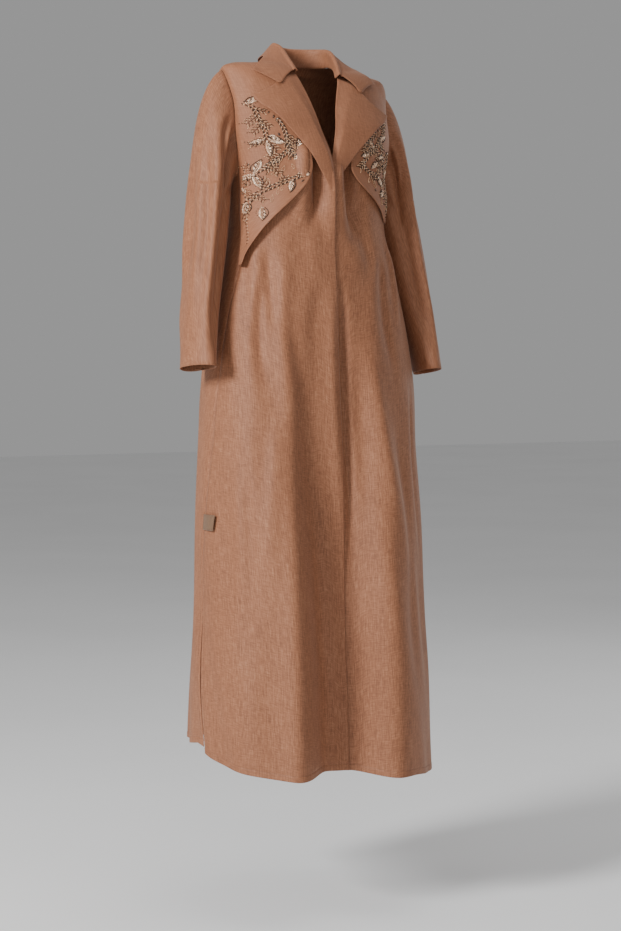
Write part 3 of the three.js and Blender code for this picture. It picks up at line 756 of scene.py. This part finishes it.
LINEN_DARK = (0.150, 0.058, 0.028, 1)
LINEN_MID = (0.270, 0.106, 0.051, 1)
LINEN_LIGHT = (0.410, 0.190, 0.102, 1)


def linen_material(name, contrast=1.0):
    """Plain weave with slubs both ways: fine threads, thick and thin places, and a soft sheen."""
    n = Nodes(name)
    place = n.weave()
    warp = n.noise(place, (820, 70), 3, 0.6)
    weft = n.noise(place, (75, 760), 3, 0.6)
    warp_slub = n.noise(place, (470, 26), 2, 0.5)
    weft_slub = n.noise(place, (60, 470), 2, 0.5)
    patch = n.noise(place, (7, 5), 2, 0.5)
    threads = n.crossed(warp, weft, 0.25, 0.75, 0.6, 0.42, 0.40 * contrast)
    slubs = n.crossed(warp_slub, weft_slub, 0.3, 0.7, 0.55, 0.36, 0.26 * contrast)
    both = n.math("ADD", n.math("ADD", threads, slubs), n.ramp(patch, 0.2, 0.8, -0.06, 0.06))
    dark_side = n.mix(n.ramp(both, -0.5, 0.0), LINEN_DARK, LINEN_MID)
    color = n.mix(n.ramp(both, 0.0, 0.5), dark_side, LINEN_LIGHT)
    height = n.math("ADD", n.math("MULTIPLY", warp, 0.5), n.math("MULTIPLY", weft, 0.5))
    sheen = {"Sheen_Weight": 0.12, "Sheen_Roughness": 0.4, "Sheen_Tint": (0.95, 0.78, 0.66, 1)}
    return n.finish(color, height, 0.45, 0.0006, Roughness=0.62, Specular_IOR_Level=0.32, **sheen)


def tab_material():
    n = Nodes("tab_weave")
    place = n.weave()
    warp = n.noise(place, (1500, 200), 2, 0.5)
    weft = n.noise(place, (180, 1700), 2, 0.5)
    both = n.math("MULTIPLY", n.math("ADD", warp, weft), 0.5)
    color = n.mix(n.ramp(both, 0.3, 0.7), (0.110, 0.055, 0.026, 1), (0.185, 0.100, 0.050, 1))
    return n.finish(color, both, 0.5, 0.0004, Roughness=0.55, Sheen_Weight=0.15)


def small_material(name, dark, light, scale, **inputs):
    """Threads and beads, whose colour changes from one to the next."""
    n = Nodes(name)
    place = n.add("ShaderNodeTexCoord").outputs["Object"]
    change = n.add("ShaderNodeTexNoise", {"Vector": place, "Scale": scale, "Detail": 2.0}).outputs["Fac"]
    color = n.mix(n.ramp(change, 0.35, 0.65), (*dark, 1), (*light, 1))
    return n.finish(color, change, 0.25, 0.0002, **inputs)


linen = linen_material("linen")
linen_faced = linen_material("linen_faced", 0.6)
tab_cloth = tab_material()
thread = small_material("sewing_thread", (0.13, 0.055, 0.030), (0.24, 0.11, 0.065), 900.0, Roughness=0.6)
pale_thread = small_material("pale_thread", (0.44, 0.22, 0.11), (0.74, 0.46, 0.27), 300.0, Roughness=0.45)
bright_beads = small_material(
    "bright_beads", (0.60, 0.35, 0.21), (0.98, 0.75, 0.56), 260.0, Roughness=0.2, Metallic=0.4
)
dark_beads = small_material(
    "dark_beads", (0.020, 0.009, 0.005), (0.085, 0.040, 0.020), 300.0, Roughness=0.22
)

# ---- pieces ----


def front_edge(z, side):
    extension = -LEFT_UNDER if side > 0 else -RIGHT_OVER
    roll = column(ROLL, "x", z)
    if side > 0:
        roll = roll - (LEFT_UNDER - RIGHT_OVER) * smooth(-200, BREAK_Z, z)
    return np.where(z <= BREAK_Z, extension, roll)


def lap_lift(x, z, side):
    if side > 0:
        return np.zeros(np.broadcast(x, z).shape)
    lift = (RIM + 5 * smooth(-330, -270, z)) * smooth(-110, -170, z)
    return lift * smooth(RIGHT_OVER + LAP_BLEND, LEFT_UNDER + 6, np.abs(x))


def sewn_edge(distance):
    """A sewn edge turns in a little over its last few millimetres."""
    return -SEWN_DIP * bell(distance, SEWN_REACH)


def side_edge(angle, z):
    """The sewn edge at an angle from a side seam. Below the top of the slit it lies flat."""
    distance = np.radians(angle) * SIDE_RUN * column(FORM, "half", z)
    return sewn_edge(distance) * smooth(SLIT_TOP - 60, SLIT_TOP, z)


def front_ends(z, side):
    start = front_angle(front_edge(z, side), z, side)
    return start, shifted(front_side_angle(z), z, -seam_half_gap(z))


def back_ends(z):
    start = shifted(back_side_angle(z), z, seam_half_gap(z))
    return start, 180 - start


def front_face(phi, z, side, more=0.0):
    """Points of a front piece's face at ring angles as if on the wearer's left."""
    lift = lap_lift(ring(phi, z)[0], z, side) + side_edge(front_ends(z, side)[1] - phi, z)
    angle = mirrored(phi, side)
    return hung(on_form(angle, z, lift + hem_fold(z) + more), angle)


def back_face(phi, z, more=0.0):
    start, end = back_ends(z)
    lift = side_edge(np.minimum(phi - start, end - phi), z) + hem_fold(z)
    return hung(on_form(phi, z, lift + more), phi, True)


def front_grid(side):
    z = skirt_heights()[:, None]
    u = np.linspace(0, 1, FRONT_COLUMNS)[None, :]
    phi = lerp(*front_ends(z, side), u - 0.07 * np.sin(2 * np.pi * u))
    return facing(front_face(phi, np.broadcast_to(z, phi.shape), side), side)


def back_grid():
    z = skirt_heights()[:, None]
    phi = lerp(*back_ends(z), np.linspace(0, 1, BACK_COLUMNS)[None, :])
    return back_face(phi, np.broadcast_to(z, phi.shape))


def armhole_point(turn, side):
    z = ARMHOLE_Z + ARMHOLE_HALF * np.cos(np.radians(turn))
    on_front = np.sin(np.radians(turn)) > 0
    angle = np.where(on_front, front_side_angle(z), back_side_angle(z))
    point = on_form(mirrored(angle, side), z, sewn_edge(0.0))
    point[..., 0] = np.abs(point[..., 0])
    return point


# Folds of a sleeve: height and angle round it at both ends, half width in mm, depth, wander
SLEEVE_CREASES = named(
    "at0 z0 at1 z1 width depth wander",
    (100, -74, 116, -300, 9, -13, 2), (78, -86, 92, -250, 8, -8, 2), (100, -150, 98, -585, 24, -13, 3),
    (68, -140, 66, -560, 13, 8, 4), (42, -130, 46, -470, 12, -6, 5), (30, -200, 26, -520, 16, 4, 6),
    (4, -140, 2, -430, 15, -5, 5), (146, -220, 112, -300, 11, -5, 3), (-40, -180, -34, -440, 15, 4, 5),
    (-75, -100, -98, -260, 10, -7, 2), (-112, -220, -78, -300, 12, -5, 3),
    (-100, -300, -92, -540, 20, -8, 4), (-66, -340, -60, -530, 13, 4, 5),
)


def sleeve_relief(turn, z, side):
    total = 0.0
    lean = LEFT_LEAN if side > 0 else 1.0
    for crease in SLEEVE_CREASES:
        across = angle_from(turn, crease["at0"]) * SLEEVE_DEGREE
        reach = angle_from(crease["at1"], crease["at0"]) * SLEEVE_DEGREE * lean
        way = np.array([reach, crease["z1"] - crease["z0"]])
        total = total + crease_depth(crease, SLEEVE_LOOK, across, z - crease["z0"], way, crease["at0"])
    return total


def sleeve_frame(z, side):
    def centre(h):
        out = column(SLEEVE, "left_out", h) if side > 0 else 0
        return np.stack([column(SLEEVE, "x", h) + out, column(SLEEVE, "y", h), h], -1)

    down = unit(centre(z - 4) - centre(z + 4))
    outward = unit(np.array([1.0, 0, 0]) - down * down[..., :1])
    turn = np.radians(column(SLEEVE, "turn", z))[..., None]
    outward = outward * np.cos(turn) + np.cross(down, outward) * np.sin(turn)
    return centre(z), down, outward, unit(np.cross(down, outward))


def sleeve_arm(turn, z, side, fine=True):
    centre, _, outward, forward = sleeve_frame(z, side)
    crease = sleeve_relief(turn, z, side) * smooth(CUFF_Z - 4, CUFF_Z + 30, z) if fine else 0
    across = column(SLEEVE, "across", z) + crease
    deep = column(SLEEVE, "deep", z) + crease
    across, deep = across * np.cos(np.radians(turn)), deep * np.sin(np.radians(turn))
    return centre + outward * across[..., None] + forward * deep[..., None]


def sleeve_head(turn, t, side):
    upper = np.full_like(turn, UPPER_ARM_Z)
    end = sleeve_arm(turn, upper, side, False)
    angle = np.radians(turn)
    leave = np.stack([np.full_like(angle, 0.75), -np.sin(angle) * 0.25, np.cos(angle) * 0.25 - 0.66], -1)
    leave = unit(leave)
    start = armhole_point(turn, side) + leave * SEAM_GAP
    reach = np.linalg.norm(end - start, axis=-1, keepdims=True)
    first = start + leave * 0.22 * reach
    second = end - sleeve_frame(upper, side)[1] * 0.42 * reach
    t = t[..., None]
    return (1 - t) ** 3 * start + 3 * (1 - t) ** 2 * t * first + 3 * (1 - t) * t * t * second + t**3 * end


def sleeve_grid(side):
    turn = np.arange(SLEEVE_AROUND) * 360.0 / SLEEVE_AROUND
    arm_z = np.linspace(CUFF_Z, UPPER_ARM_Z, ARM_ROWS)
    head_t = np.linspace(1, 0, HEAD_ROWS)[1:]
    arm = sleeve_arm(*np.meshgrid(turn, arm_z), side)
    around, t = np.meshgrid(turn, head_t)
    head = sleeve_head(around, t, side)
    out = -unit(np.cross(np.roll(head, -1, 1) - np.roll(head, 1, 1), np.gradient(head, axis=0)))
    end_z = np.full((1, SLEEVE_AROUND), UPPER_ARM_Z)
    plain_end = sleeve_arm(turn[None, :], end_z, side, False)
    _, _, outward, forward = sleeve_frame(end_z, side)
    angle = np.radians(turn)[None, :, None]
    radial = outward * np.cos(angle) + forward * np.sin(angle)
    out = unit(lerp(out, radial, smooth(0.4, 1, t)[..., None]))
    z_like = head[..., 2] - (plain_end[..., 2] - UPPER_ARM_Z) * smooth(0.2, 1, t)
    head = head + out * (sleeve_relief(around, z_like, side) * smooth(0, 0.25, t))[..., None]
    head = head - out * bell(t, 0.03)[..., None]
    grid = np.concatenate([arm, head])
    grid[..., 0] *= side
    if side < 0:
        grid[..., 2] -= RIGHT_ARM_LOWER * smooth(UNDERARM_Z, CUFF_Z, grid[..., 2])
        return grid
    return grid[:, ::-1]


def on_front(x, z, side, lift):
    return on_form(mirrored(front_angle(x, z, side), side), z, lift, False)


def lapel_grid(side):
    edge = LAPEL_EDGE[side]
    t = np.linspace(0, 1, LAPEL_ROWS)[:, None]
    s = np.linspace(0, 1, LAPEL_COLUMNS)[None, :]
    roll_z = lerp(LAPEL_LOWEST[side], GORGE_Z, t)
    roll_x = column(ROLL, "x", roll_z) - 0.6
    out_z = lerp(LAPEL_LOWEST[side], edge["z"][-1], t)
    out_x = np.maximum(column(edge, "x", out_z), roll_x + 5)
    x, z = lerp(roll_x, out_x, s), lerp(roll_z, out_z, s)
    full = RIM * (1 + 1.3 * smooth(-206, -178, z))
    close = WALL + SEAM_GAP + 0.4 * smooth(-75, -40, z)
    layers = lerp(close, full, smooth(0, 0.3, s))
    stand = LAPEL_STAND[side] * s * s * smooth(0.3, 1, t)
    bow = 1.2 * np.sin(np.pi * s) * np.sin(np.pi * t)
    z = z + 5 * np.sin(np.pi * np.minimum(1.6 * s, 1)) * smooth(0.8, 1, t)
    return facing(on_front(x, z, side, layers + lap_lift(x, z, side) + stand + bow), side)


def bib_band(z, side):
    """Ring angles of a bib's inner edge and of its edge in the side seam."""
    outer = shifted(front_side_angle(z), z, -seam_half_gap(z) - 1)
    inner = front_angle(column(BIB_EDGE[side], "x", z), z, side)
    return np.minimum(inner, shifted(outer, z, -4)), outer


def bib_lift(s, phi, z, side):
    loose = BIB_LOOSE[side] * smooth(-190, -250, z)
    x = ring(phi, z)[0]
    stand = 1 + loose * lerp(1, 0.15, s) + 3 * (1 - s) ** 2 * smooth(-192, -235, z)
    if side > 0:
        stand = stand * smooth(-290, -225, z)
    wave = ripple(x + 90 * side, z, 0.9, 230, 120) * smooth(1, 0.8, s)
    lift = lerp(WALL + SEAM_GAP, RIM + stand, smooth(1, 0.9, s))
    return lift + lap_lift(x, z, side) + np.maximum(wave, -0.8)


def bib_grid(side):
    z = body_heights(BIB_EDGE[side]["z"][0] + 3, BIB_TOP, BIB_STEP)[:, None]
    s = np.linspace(0, 1, BIB_COLUMNS)[None, :]
    phi = lerp(*bib_band(z, side), s)
    z = np.broadcast_to(z, phi.shape)
    return facing(on_form(mirrored(phi, side), z, bib_lift(s, phi, z, side), False), side)


def bib_face(x, z, side, more=0.0):
    """Points of a bib's face at places in the front view."""
    inner, outer = bib_band(z, side)
    phi = front_angle(x, z, side)
    lift = bib_lift((phi - inner) / (outer - inner), phi, z, side)
    return on_form(mirrored(phi, side), z, lift + more, False)


def shoulder_at(x, y):
    """Height and ring angle of the shoulders at a place in plan."""

    def shares(z):
        centre = column(FORM, "y", z)
        reach = np.where(y < centre, column(FORM, "front", z), column(FORM, "back", z))
        return x / half_width(z, x), (y - centre) / reach

    low, high = np.full_like(x, TIP_Z - 90), np.full_like(x, 8.0)
    for _ in range(30):
        z = (low + high) / 2
        square = column(FORM, "square", z)
        across, deep = shares(z)
        inside = np.abs(across) ** square + np.abs(deep) ** square < 1
        low, high = np.where(inside, z, low), np.where(inside, high, z)
    exponent = column(FORM, "square", low) / 2
    across, deep = shares(low)
    return low, np.degrees(np.arctan2(power(deep, exponent), power(across, exponent)))


def over_shoulder(x, y, lift):
    """Height over a place in plan that stands off the shoulders by a lift."""
    base_x, base_y = x.copy(), y.copy()
    for _ in range(8):
        z, phi = shoulder_at(base_x, base_y)
        point = on_form(phi, z, np.full_like(z, lift), False)
        base_x += (x - point[..., 0]) * 0.7
        base_y += (y - point[..., 1]) * 0.7
    return point[..., 2]


def spline(points, t):
    """Centripetal curve through points, at t from 0 to 1."""
    points = np.asarray(points, float)
    points = np.array([2 * points[0] - points[1], *points, 2 * points[-1] - points[-2]])
    place = np.asarray(t, float) * (len(points) - 3)
    k = np.clip(np.floor(place).astype(int), 0, len(points) - 4)
    w = (place - k)[..., None]
    p0, p1, p2, p3 = (points[k + n] for n in range(4))
    d0, d1, d2 = (
        np.maximum(np.linalg.norm(b - a, axis=-1, keepdims=True) ** 0.5, 1e-4)
        for a, b in ((p0, p1), (p1, p2), (p2, p3))
    )
    first = ((p1 - p0) / d0 - (p2 - p0) / (d0 + d1) + (p2 - p1) / d1) * d1
    second = ((p2 - p1) / d1 - (p3 - p1) / (d1 + d2) + (p3 - p2) / d2) * d1
    a = 2 * p1 - 2 * p2 + first + second
    b = -3 * p1 + 3 * p2 - 2 * first - second
    return ((a * w + b) * w + first) * w + p1


def collar_grid():
    lines = {name: np.array([row[name] for row in COLLAR], float) for name in COLLAR[0]}
    edge_x, edge_y = lines["edge"].T
    edge_z = over_shoulder(edge_x.copy(), edge_y.copy(), COLLAR_RESTS)
    lines["edge"] = np.column_stack([lines["edge"], edge_z])
    t = np.linspace(0, 1, COLLAR_AROUND)
    flip = np.array([-1, 1, 1])
    low, top, mid, out = (spline(np.concatenate([line[:0:-1] * flip, line]), t) for line in lines.values())
    low = low - np.array([0, 0, COLLAR_DROP])
    away = unit((out - top) * np.array([1, 1, 0]))
    inner = top - away
    ridge = top + away * 2 + np.array([0, 0, 2])
    outer = top + away * 6 - np.array([0, 0, 1.5])
    fall = [lerp(outer, mid, k / 3) for k in (1, 2, 3)] + [lerp(mid, out, k / 3) for k in (1, 2, 3)]
    stations = np.array([low, lerp(low, inner, 0.5), inner, ridge, outer, *fall]).transpose(1, 0, 2)
    across = np.linspace(0, 1, COLLAR_COLUMNS)
    grid = np.array([spline(row, across) for row in stations])
    rest = over_shoulder(grid[..., 0].copy(), grid[..., 1].copy(), COLLAR_RESTS)
    on_fall = across[None, :] > FALL_FROM
    grid[..., 2] = np.where(on_fall, np.maximum(grid[..., 2], rest), grid[..., 2])
    return grid


def tab_face(u, v, more=0.0):
    """Points of the tab's face, by shares of its width from the seam and of its height."""
    z = TAB["z"] + TAB["tall"] * (v - 0.5)
    phi = shifted(mirrored(front_side_angle(z), -1), z, 1 + u * TAB["wide"])
    to_edge = np.minimum(np.minimum(u, 1 - u) * TAB["wide"], np.minimum(v, 1 - v) * TAB["tall"])
    frame_dip = -FRAME_DIP * bell(to_edge - FRAME_INSET, FRAME_REACH)
    return on_form(phi, z, TAB["thick"] + SEAM_GAP + TAB_CURL * u + frame_dip + more)


def tab_grid():
    return tab_face(*np.meshgrid(np.linspace(0, 1, TAB_COLUMNS), np.linspace(0, 1, TAB_ROWS)))


# ---- stitches and beads ----


def ovals(name, centre, along, out, size, material):
    """Small rounded bodies in one mesh: stitches or beads, each with its length, width and height in mm."""
    spin = 2 * np.pi * np.arange(OVAL_SIDES) / OVAL_SIDES
    flat = np.stack([np.cos(spin), np.sin(spin), 0 * spin], 1)
    belts = [flat * radius + np.array([0, 0, height]) for height, radius in OVAL_BELTS]
    local = np.concatenate([[(0, 0, -1)], *belts, [(0, 0, 1)]])
    half = np.broadcast_to(np.asarray(size, float) / 2, (len(centre), 3))
    axes = np.stack([along, unit(np.cross(out, along)), out], 1)
    points = centre[:, None, :] + np.einsum("vk,nk,nkc->nvc", local, half, axes)
    last = len(local) - 1
    faces = []
    for k in range(OVAL_SIDES):
        i, j = 1 + k, 1 + (k + 1) % OVAL_SIDES
        upper_i, upper_j = i + OVAL_SIDES, j + OVAL_SIDES
        faces += [(0, j, i), (i, j, upper_j, upper_i), (upper_i, upper_j, last)]
    every = [[v + len(local) * n for v in face] for n in range(len(centre)) for face in faces]
    corners = sum(len(face) for face in faces) * len(centre)
    return make_object(name, posed(points.reshape(-1, 3)), every, np.zeros((corners, 2)), material)


def stitch_row(line, above, pitch=STITCH_PITCH):
    """Places, directions and normals of stitches along a line on a face and the line 1 mm above it."""
    run = run_along(line)
    at = np.arange(pitch, run[-1] - pitch, pitch)
    place, raised = along_line(line, run, at), along_line(above, run, at)
    return place, unit(np.gradient(place, axis=0)), unit(raised - place)


def sew(name, rows, size=STITCH):
    place, along, out = (np.concatenate(parts) for parts in zip(*rows))
    return dress(ovals(name, place + out * size[2] * 0.15, along, out, size, thread), "thread")


def face_row(face, phi, z):
    return stitch_row(face(phi, z, 0.0), face(phi, z, 1.0))


def hem_row(face, ends):
    z = np.full(700, HEM_Z + HEM_DEPTH)
    start, end = ends(z)
    return face_row(face, np.linspace(start[0], end[0], 700), z)


def seam_row(face, edge, inset, top):
    """Stitches beside a side seam or slit, from the hem's stitches up to a height."""
    z = np.linspace(HEM_Z + HEM_DEPTH, top, 500)
    return face_row(face, shifted(edge(z), z, inset), z)


def front_stitches(side):
    def face(phi, z, more):
        return front_face(phi, z, side, more)

    seam = seam_row(face, lambda z: front_ends(z, side)[1], -SEAM_INSET, FRONT_SEWN_TO[side])
    return [hem_row(face, lambda z: front_ends(z, side)), seam]


def back_stitches():
    left = seam_row(back_face, lambda z: back_ends(z)[0], SEAM_INSET, SLIT_TOP)
    right = seam_row(back_face, lambda z: back_ends(z)[1], -SEAM_INSET, SLIT_TOP)
    return [hem_row(back_face, back_ends), left, right]


def tab_stitches():
    wide, tall = TAB_INSET / TAB["wide"], TAB_INSET / TAB["tall"]
    t = np.linspace(0, 1, 60)
    sides = (
        (wide + 0 * t, lerp(tall, 1 - tall, t)),
        (lerp(wide, 1 - wide, t), 1 - tall + 0 * t),
        (1 - wide + 0 * t, lerp(1 - tall, tall, t)),
        (lerp(1 - wide, wide, t), tall + 0 * t),
    )
    return [stitch_row(tab_face(u, v), tab_face(u, v, 1.0), TAB_PITCH) for u, v in sides]


class Beading:
    """The beads of one bib by kind: place in the front view, heading, length, width and height."""

    def __init__(self, side):
        self.side = side
        self.rows = {"bright": [], "dark": [], "pale": []}

    def bead(self, kind, place, turn, length, width, height):
        self.rows[kind].append((place[0], place[1], turn, length, width, height))

    def along(self, points, pitch):
        """Places and headings at an even pitch along a curve through points."""
        curve = spline(points, np.linspace(0, 1, 400))
        run = run_along(curve)
        place = along_line(curve, run, np.arange(0, run[-1], pitch))
        way = np.gradient(place, axis=0)
        return place, np.degrees(np.arctan2(way[:, 1], way[:, 0]))

    def vine(self, points):
        """A stem of slanted beads, dark and pale in turn, with small bright ones along its middle."""
        for k, (place, turn) in enumerate(zip(*self.along(points, VINE_PITCH))):
            aside = leftward(heading(turn))
            for left in (1, -1):
                kind = ("dark", "dark", "pale")[(k + (left > 0)) % 3]
                self.bead(kind, place + aside * 2.6 * left, turn + 44 * left, *BEADS["stem"])
            if k % 3 == 0:
                self.bead("bright", place, turn, *BEADS["stem_middle"])

    def spray(self, row):
        """Short curved stitches that stand off both sides of a small stem."""
        points = [(row["x0"], row["z0"]), (row["x1"], row["z1"])]
        for k, (place, turn) in enumerate(zip(*self.along(points, SPRAY_PITCH))):
            self.bead("dark", place, turn, *BEADS["spray_stem"])
            reach = row["reach"] * (1.1 + 0.25 * math.sin(1.7 * k))
            for left in (1, -1):
                spot = place + heading(turn + left * 80) * 0.8
                kind = "pale" if (k + (left > 0)) % 2 == 0 else "dark"
                for bend in (72, 46, 14):
                    step = heading(turn + left * bend) * reach * 0.2
                    self.bead(kind, spot + step, turn + left * bend, reach * 0.5, 1.7, 2.0)
                    spot = spot + 2 * step

    def leaf(self, row):
        """A leaf from its stalk: bright ribs on both sides, with dark beads along the edge."""
        stalk, way = np.array([row["x"], row["z"]], float), heading(row["turn"])
        aside = leftward(way)
        long, wide = row["length"] * LEAF_SCALE, row["width"] * LEAF_SCALE
        steps = max(5, round(long / 2.1))
        for k in range(steps):
            t = (k + 0.5) / steps
            half = wide / 2 * math.sin(math.pi * min(1, t**0.8 + 0.03)) + 0.4
            middle = stalk + way * long * t
            self.bead("bright", middle, row["turn"] + 90 * (k % 2), *BEADS["leaf_middle"])
            for left in (1, -1):
                slant = row["turn"] + left * 52
                kind = "dark" if left < 0 and k % 3 == 1 else "bright"
                self.bead(kind, middle + heading(slant) * half * 0.62, slant, half * 1.3, 2.3, 2.6)
            rim = middle - aside * (half + 1.2) + way
            self.bead("dark", rim, row["turn"] + 35 * (t - 0.4), *BEADS["leaf_near_edge"])
            if k % 2:
                rim = middle + aside * (half + 1.0) + way
                self.bead("dark", rim, row["turn"] - 35 * (t - 0.4), *BEADS["leaf_far_edge"])
        self.bead("dark", stalk + way * (long + 1.4), row["turn"], *BEADS["leaf_tip"])

    def drop(self, row):
        """The open outline of a drop, from its point."""
        way = heading(row["turn"])
        aside = leftward(way)
        count = round(row["length"] * 1.1)
        for k in range(count):
            around = 2 * math.pi * (k + 0.5) / count
            t = (1 - math.cos(around)) / 2
            half = row["width"] / 2 * math.sin(around) * math.sqrt(t)
            spot = np.array([row["x"], row["z"]]) + way * row["length"] * t + aside * half
            self.bead("pale", spot, row["turn"] + 25 * math.cos(around), *BEADS["drop"])

    def seed(self, row):
        long, wide = row["length"] * LEAF_SCALE, row["width"] * LEAF_SCALE
        self.bead("dark", (row["x"], row["z"]), row["turn"], long, wide, 2.2)

    def edge(self, points):
        for k, (place, turn) in enumerate(zip(*self.along(points, EDGE_PITCH))):
            kind = ("dark", "bright", "dark", "pale")[k % 4]
            place = place + np.array([-1.4 * (k % 2), 0])
            self.bead(kind, place, turn + 28 * (-1) ** k, *BEADS["edge"])

    def showing(self, x, z):
        """Which beads lie on the bib and clear of the lapel over it."""
        inner = column(BIB_EDGE[self.side], "x", z) + 3.5
        seam = ring(shifted(front_side_angle(z), z, -4), z)[0]
        outer = np.minimum(seam, 152 - 9 * smooth(-180, -215, z))
        lapel = LAPEL_EDGE[self.side]
        clear = (z > lapel["z"][-1]) | (z < -192) | (x > column(lapel, "x", z) + 0.5)
        return (x > inner) & (x < outer) & clear

    def make(self, name):
        made = []
        for kind, material, slot in BEAD_KINDS:
            x, z, turn, length, width, height = np.array(self.rows[kind], float).T
            keep = self.showing(x, z)
            x, z, turn = x[keep], z[keep], np.radians(turn[keep])
            size = np.stack([length, width, height], 1)[keep]
            place = bib_face(x, z, self.side)
            out = unit(bib_face(x, z, self.side, 1.0) - place)
            ahead = bib_face(x + 0.5 * np.cos(turn), z + 0.5 * np.sin(turn), self.side)
            centre = place + out * size[:, 2:] * 0.25
            piece = ovals(name + "_" + kind, centre, unit(ahead - place), out, size, material)
            made.append(dress(piece, slot))
        return made


def heading(turn):
    return np.array([math.cos(math.radians(turn)), math.sin(math.radians(turn))])


def leftward(way):
    return np.array([-way[1], way[0]])


def beading(side, name):
    work = Beading(side)
    for draw, rows in (
        (work.vine, VINES),
        (work.spray, SPRAYS),
        (work.leaf, LEAVES),
        (work.drop, DROPS),
        (work.seed, SEEDS),
    ):
        for row in rows[side]:
            draw(row)
    work.edge(EDGE_BEADS[side])
    return work.make(name)


BEAD_KINDS = (
    ("bright", bright_beads, "bright_beads"),
    ("dark", dark_beads, "dark_beads"),
    ("pale", pale_thread, "thread"),
)


def dress(piece, slot, *nodes):
    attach(piece, "root")
    if nodes:
        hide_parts(*nodes)
    return piece


def cloth(node, grid, wall, material, slot="linen_cloth", **options):
    return dress(shell(node + "_cloth", grid, wall, material, **options), slot, node)


front_right = cloth("front_right", front_grid(-1), CLOTH, linen, anchor="last")
front_left = cloth("front_left", front_grid(1), CLOTH, linen, place=(0.9, 0.3))
back = cloth("back", back_grid(), CLOTH, linen, place=(2.1, 0.7), anchor="middle")
sleeve_right = cloth("sleeve_right", sleeve_grid(-1), CLOTH, linen, closed=True, place=(3.3, 0.2))
sleeve_left = cloth("sleeve_left", sleeve_grid(1), CLOTH, linen, closed=True, place=(4.1, 0.5))
lapel_right = cloth("lapel_right", lapel_grid(-1), FACED, linen_faced, grain=24, place=(5.2, 0.1))
lapel_left = cloth("lapel_left", lapel_grid(1), FACED, linen_faced, grain=-20, place=(5.9, 0.4))
bib_right = cloth("bib_right", bib_grid(-1), FACED, linen_faced, place=(6.4, 0.2), anchor="last")
bib_left = cloth("bib_left", bib_grid(1), FACED, linen_faced, place=(7.1, 0.6))
collar = cloth("collar", collar_grid(), FACED, linen_faced, grain=90, place=(7.7, 0.1))
tab = cloth("side_tab", tab_grid(), TAB_CLOTH, tab_cloth, "tab_cloth")

sewing_right = sew("front_right_stitches", front_stitches(-1))
sewing_left = sew("front_left_stitches", front_stitches(1))
sewing_back = sew("back_stitches", back_stitches())
sewing_tab = sew("side_tab_stitches", tab_stitches(), TAB_STITCH)
beads_right = beading(-1, "bib_right_beads")
beads_left = beading(1, "bib_left_beads")

# ---- floor, light and camera ----


FLOOR_Z, FLOOR_HALF = -1563.0, 15000.0


def floor_object():
    n = Nodes("pale_floor")
    place = n.add("ShaderNodeTexCoord").outputs["Object"]
    cloud = n.add("ShaderNodeTexNoise", {"Vector": place, "Scale": 1.5}).outputs["Fac"]
    color = n.mix(n.ramp(cloud, 0.3, 0.7), (0.87, 0.87, 0.87, 1), (0.90, 0.90, 0.90, 1))
    material = n.finish(color, cloud, 0.02, 0.001, Roughness=0.8)
    corners = np.array([[-1, -1], [1, -1], [1, 1], [-1, 1]]) * FLOOR_HALF
    corners = np.column_stack([corners, np.full(4, FLOOR_Z)])
    return make_object("floor", corners, [(0, 1, 2, 3)], np.zeros((4, 2)), material)


floor_object()


def area_light(name, place, target, size, power):
    light = bpy.data.lights.new(name, "AREA")
    light.shape, light.size, light.energy = "DISK", size, power
    lamp = bpy.data.objects.new(name, light)
    bpy.context.scene.collection.objects.link(lamp)
    lamp.location = place
    lamp.rotation_mode = "QUATERNION"
    lamp.rotation_quaternion = (Vector(target) - Vector(place)).to_track_quat("-Z", "Y")


area_light("key", (-3.9, -1.15, 1.2), (0, 0, -0.6), 1.2, 250)
area_light("fill", (-1.2, -4.4, 0.4), (0, 0, -0.7), 2.6, 22)
area_light("top", (0.2, -0.6, 3.0), (0, 0, -0.3), 2.0, 26)
area_light("rim", (3.4, 0.6, 0.4), (0, 0, -0.5), 2.5, 24)

world = bpy.data.worlds.new("studio")
bpy.context.scene.world = world
world.use_nodes = True
background = world.node_tree.nodes["Background"]
background.inputs["Color"].default_value = (1.0, 1.0, 1.0, 1)
background.inputs["Strength"].default_value = 0.33

CAMERA = {"place": (-1971.8, -3708.4, -500.0), "azimuth": -28.0, "yaw": 0.205, "pitch": -3.3}
FOCAL_PIXELS, LONG_SIDE = 2234.0, 931.0


def make_camera():
    lens = bpy.data.cameras.new("camera")
    camera = bpy.data.objects.new("camera", lens)
    bpy.context.scene.collection.objects.link(camera)
    lens.sensor_width = 36.0
    lens.lens = lens.sensor_width * FOCAL_PIXELS / LONG_SIDE
    lens.clip_start, lens.clip_end = 0.1, 100
    azimuth, yaw, pitch = (math.radians(CAMERA[key]) for key in ("azimuth", "yaw", "pitch"))
    bearing = -azimuth + yaw
    level = Vector((math.sin(bearing), math.cos(bearing), 0))
    look = level * math.cos(pitch) + Vector((0, 0, math.sin(pitch)))
    camera.location = Vector(CAMERA["place"]) * MM
    camera.rotation_mode = "QUATERNION"
    camera.rotation_quaternion = look.to_track_quat("-Z", "Y")
    bpy.context.scene.camera = camera


make_camera()
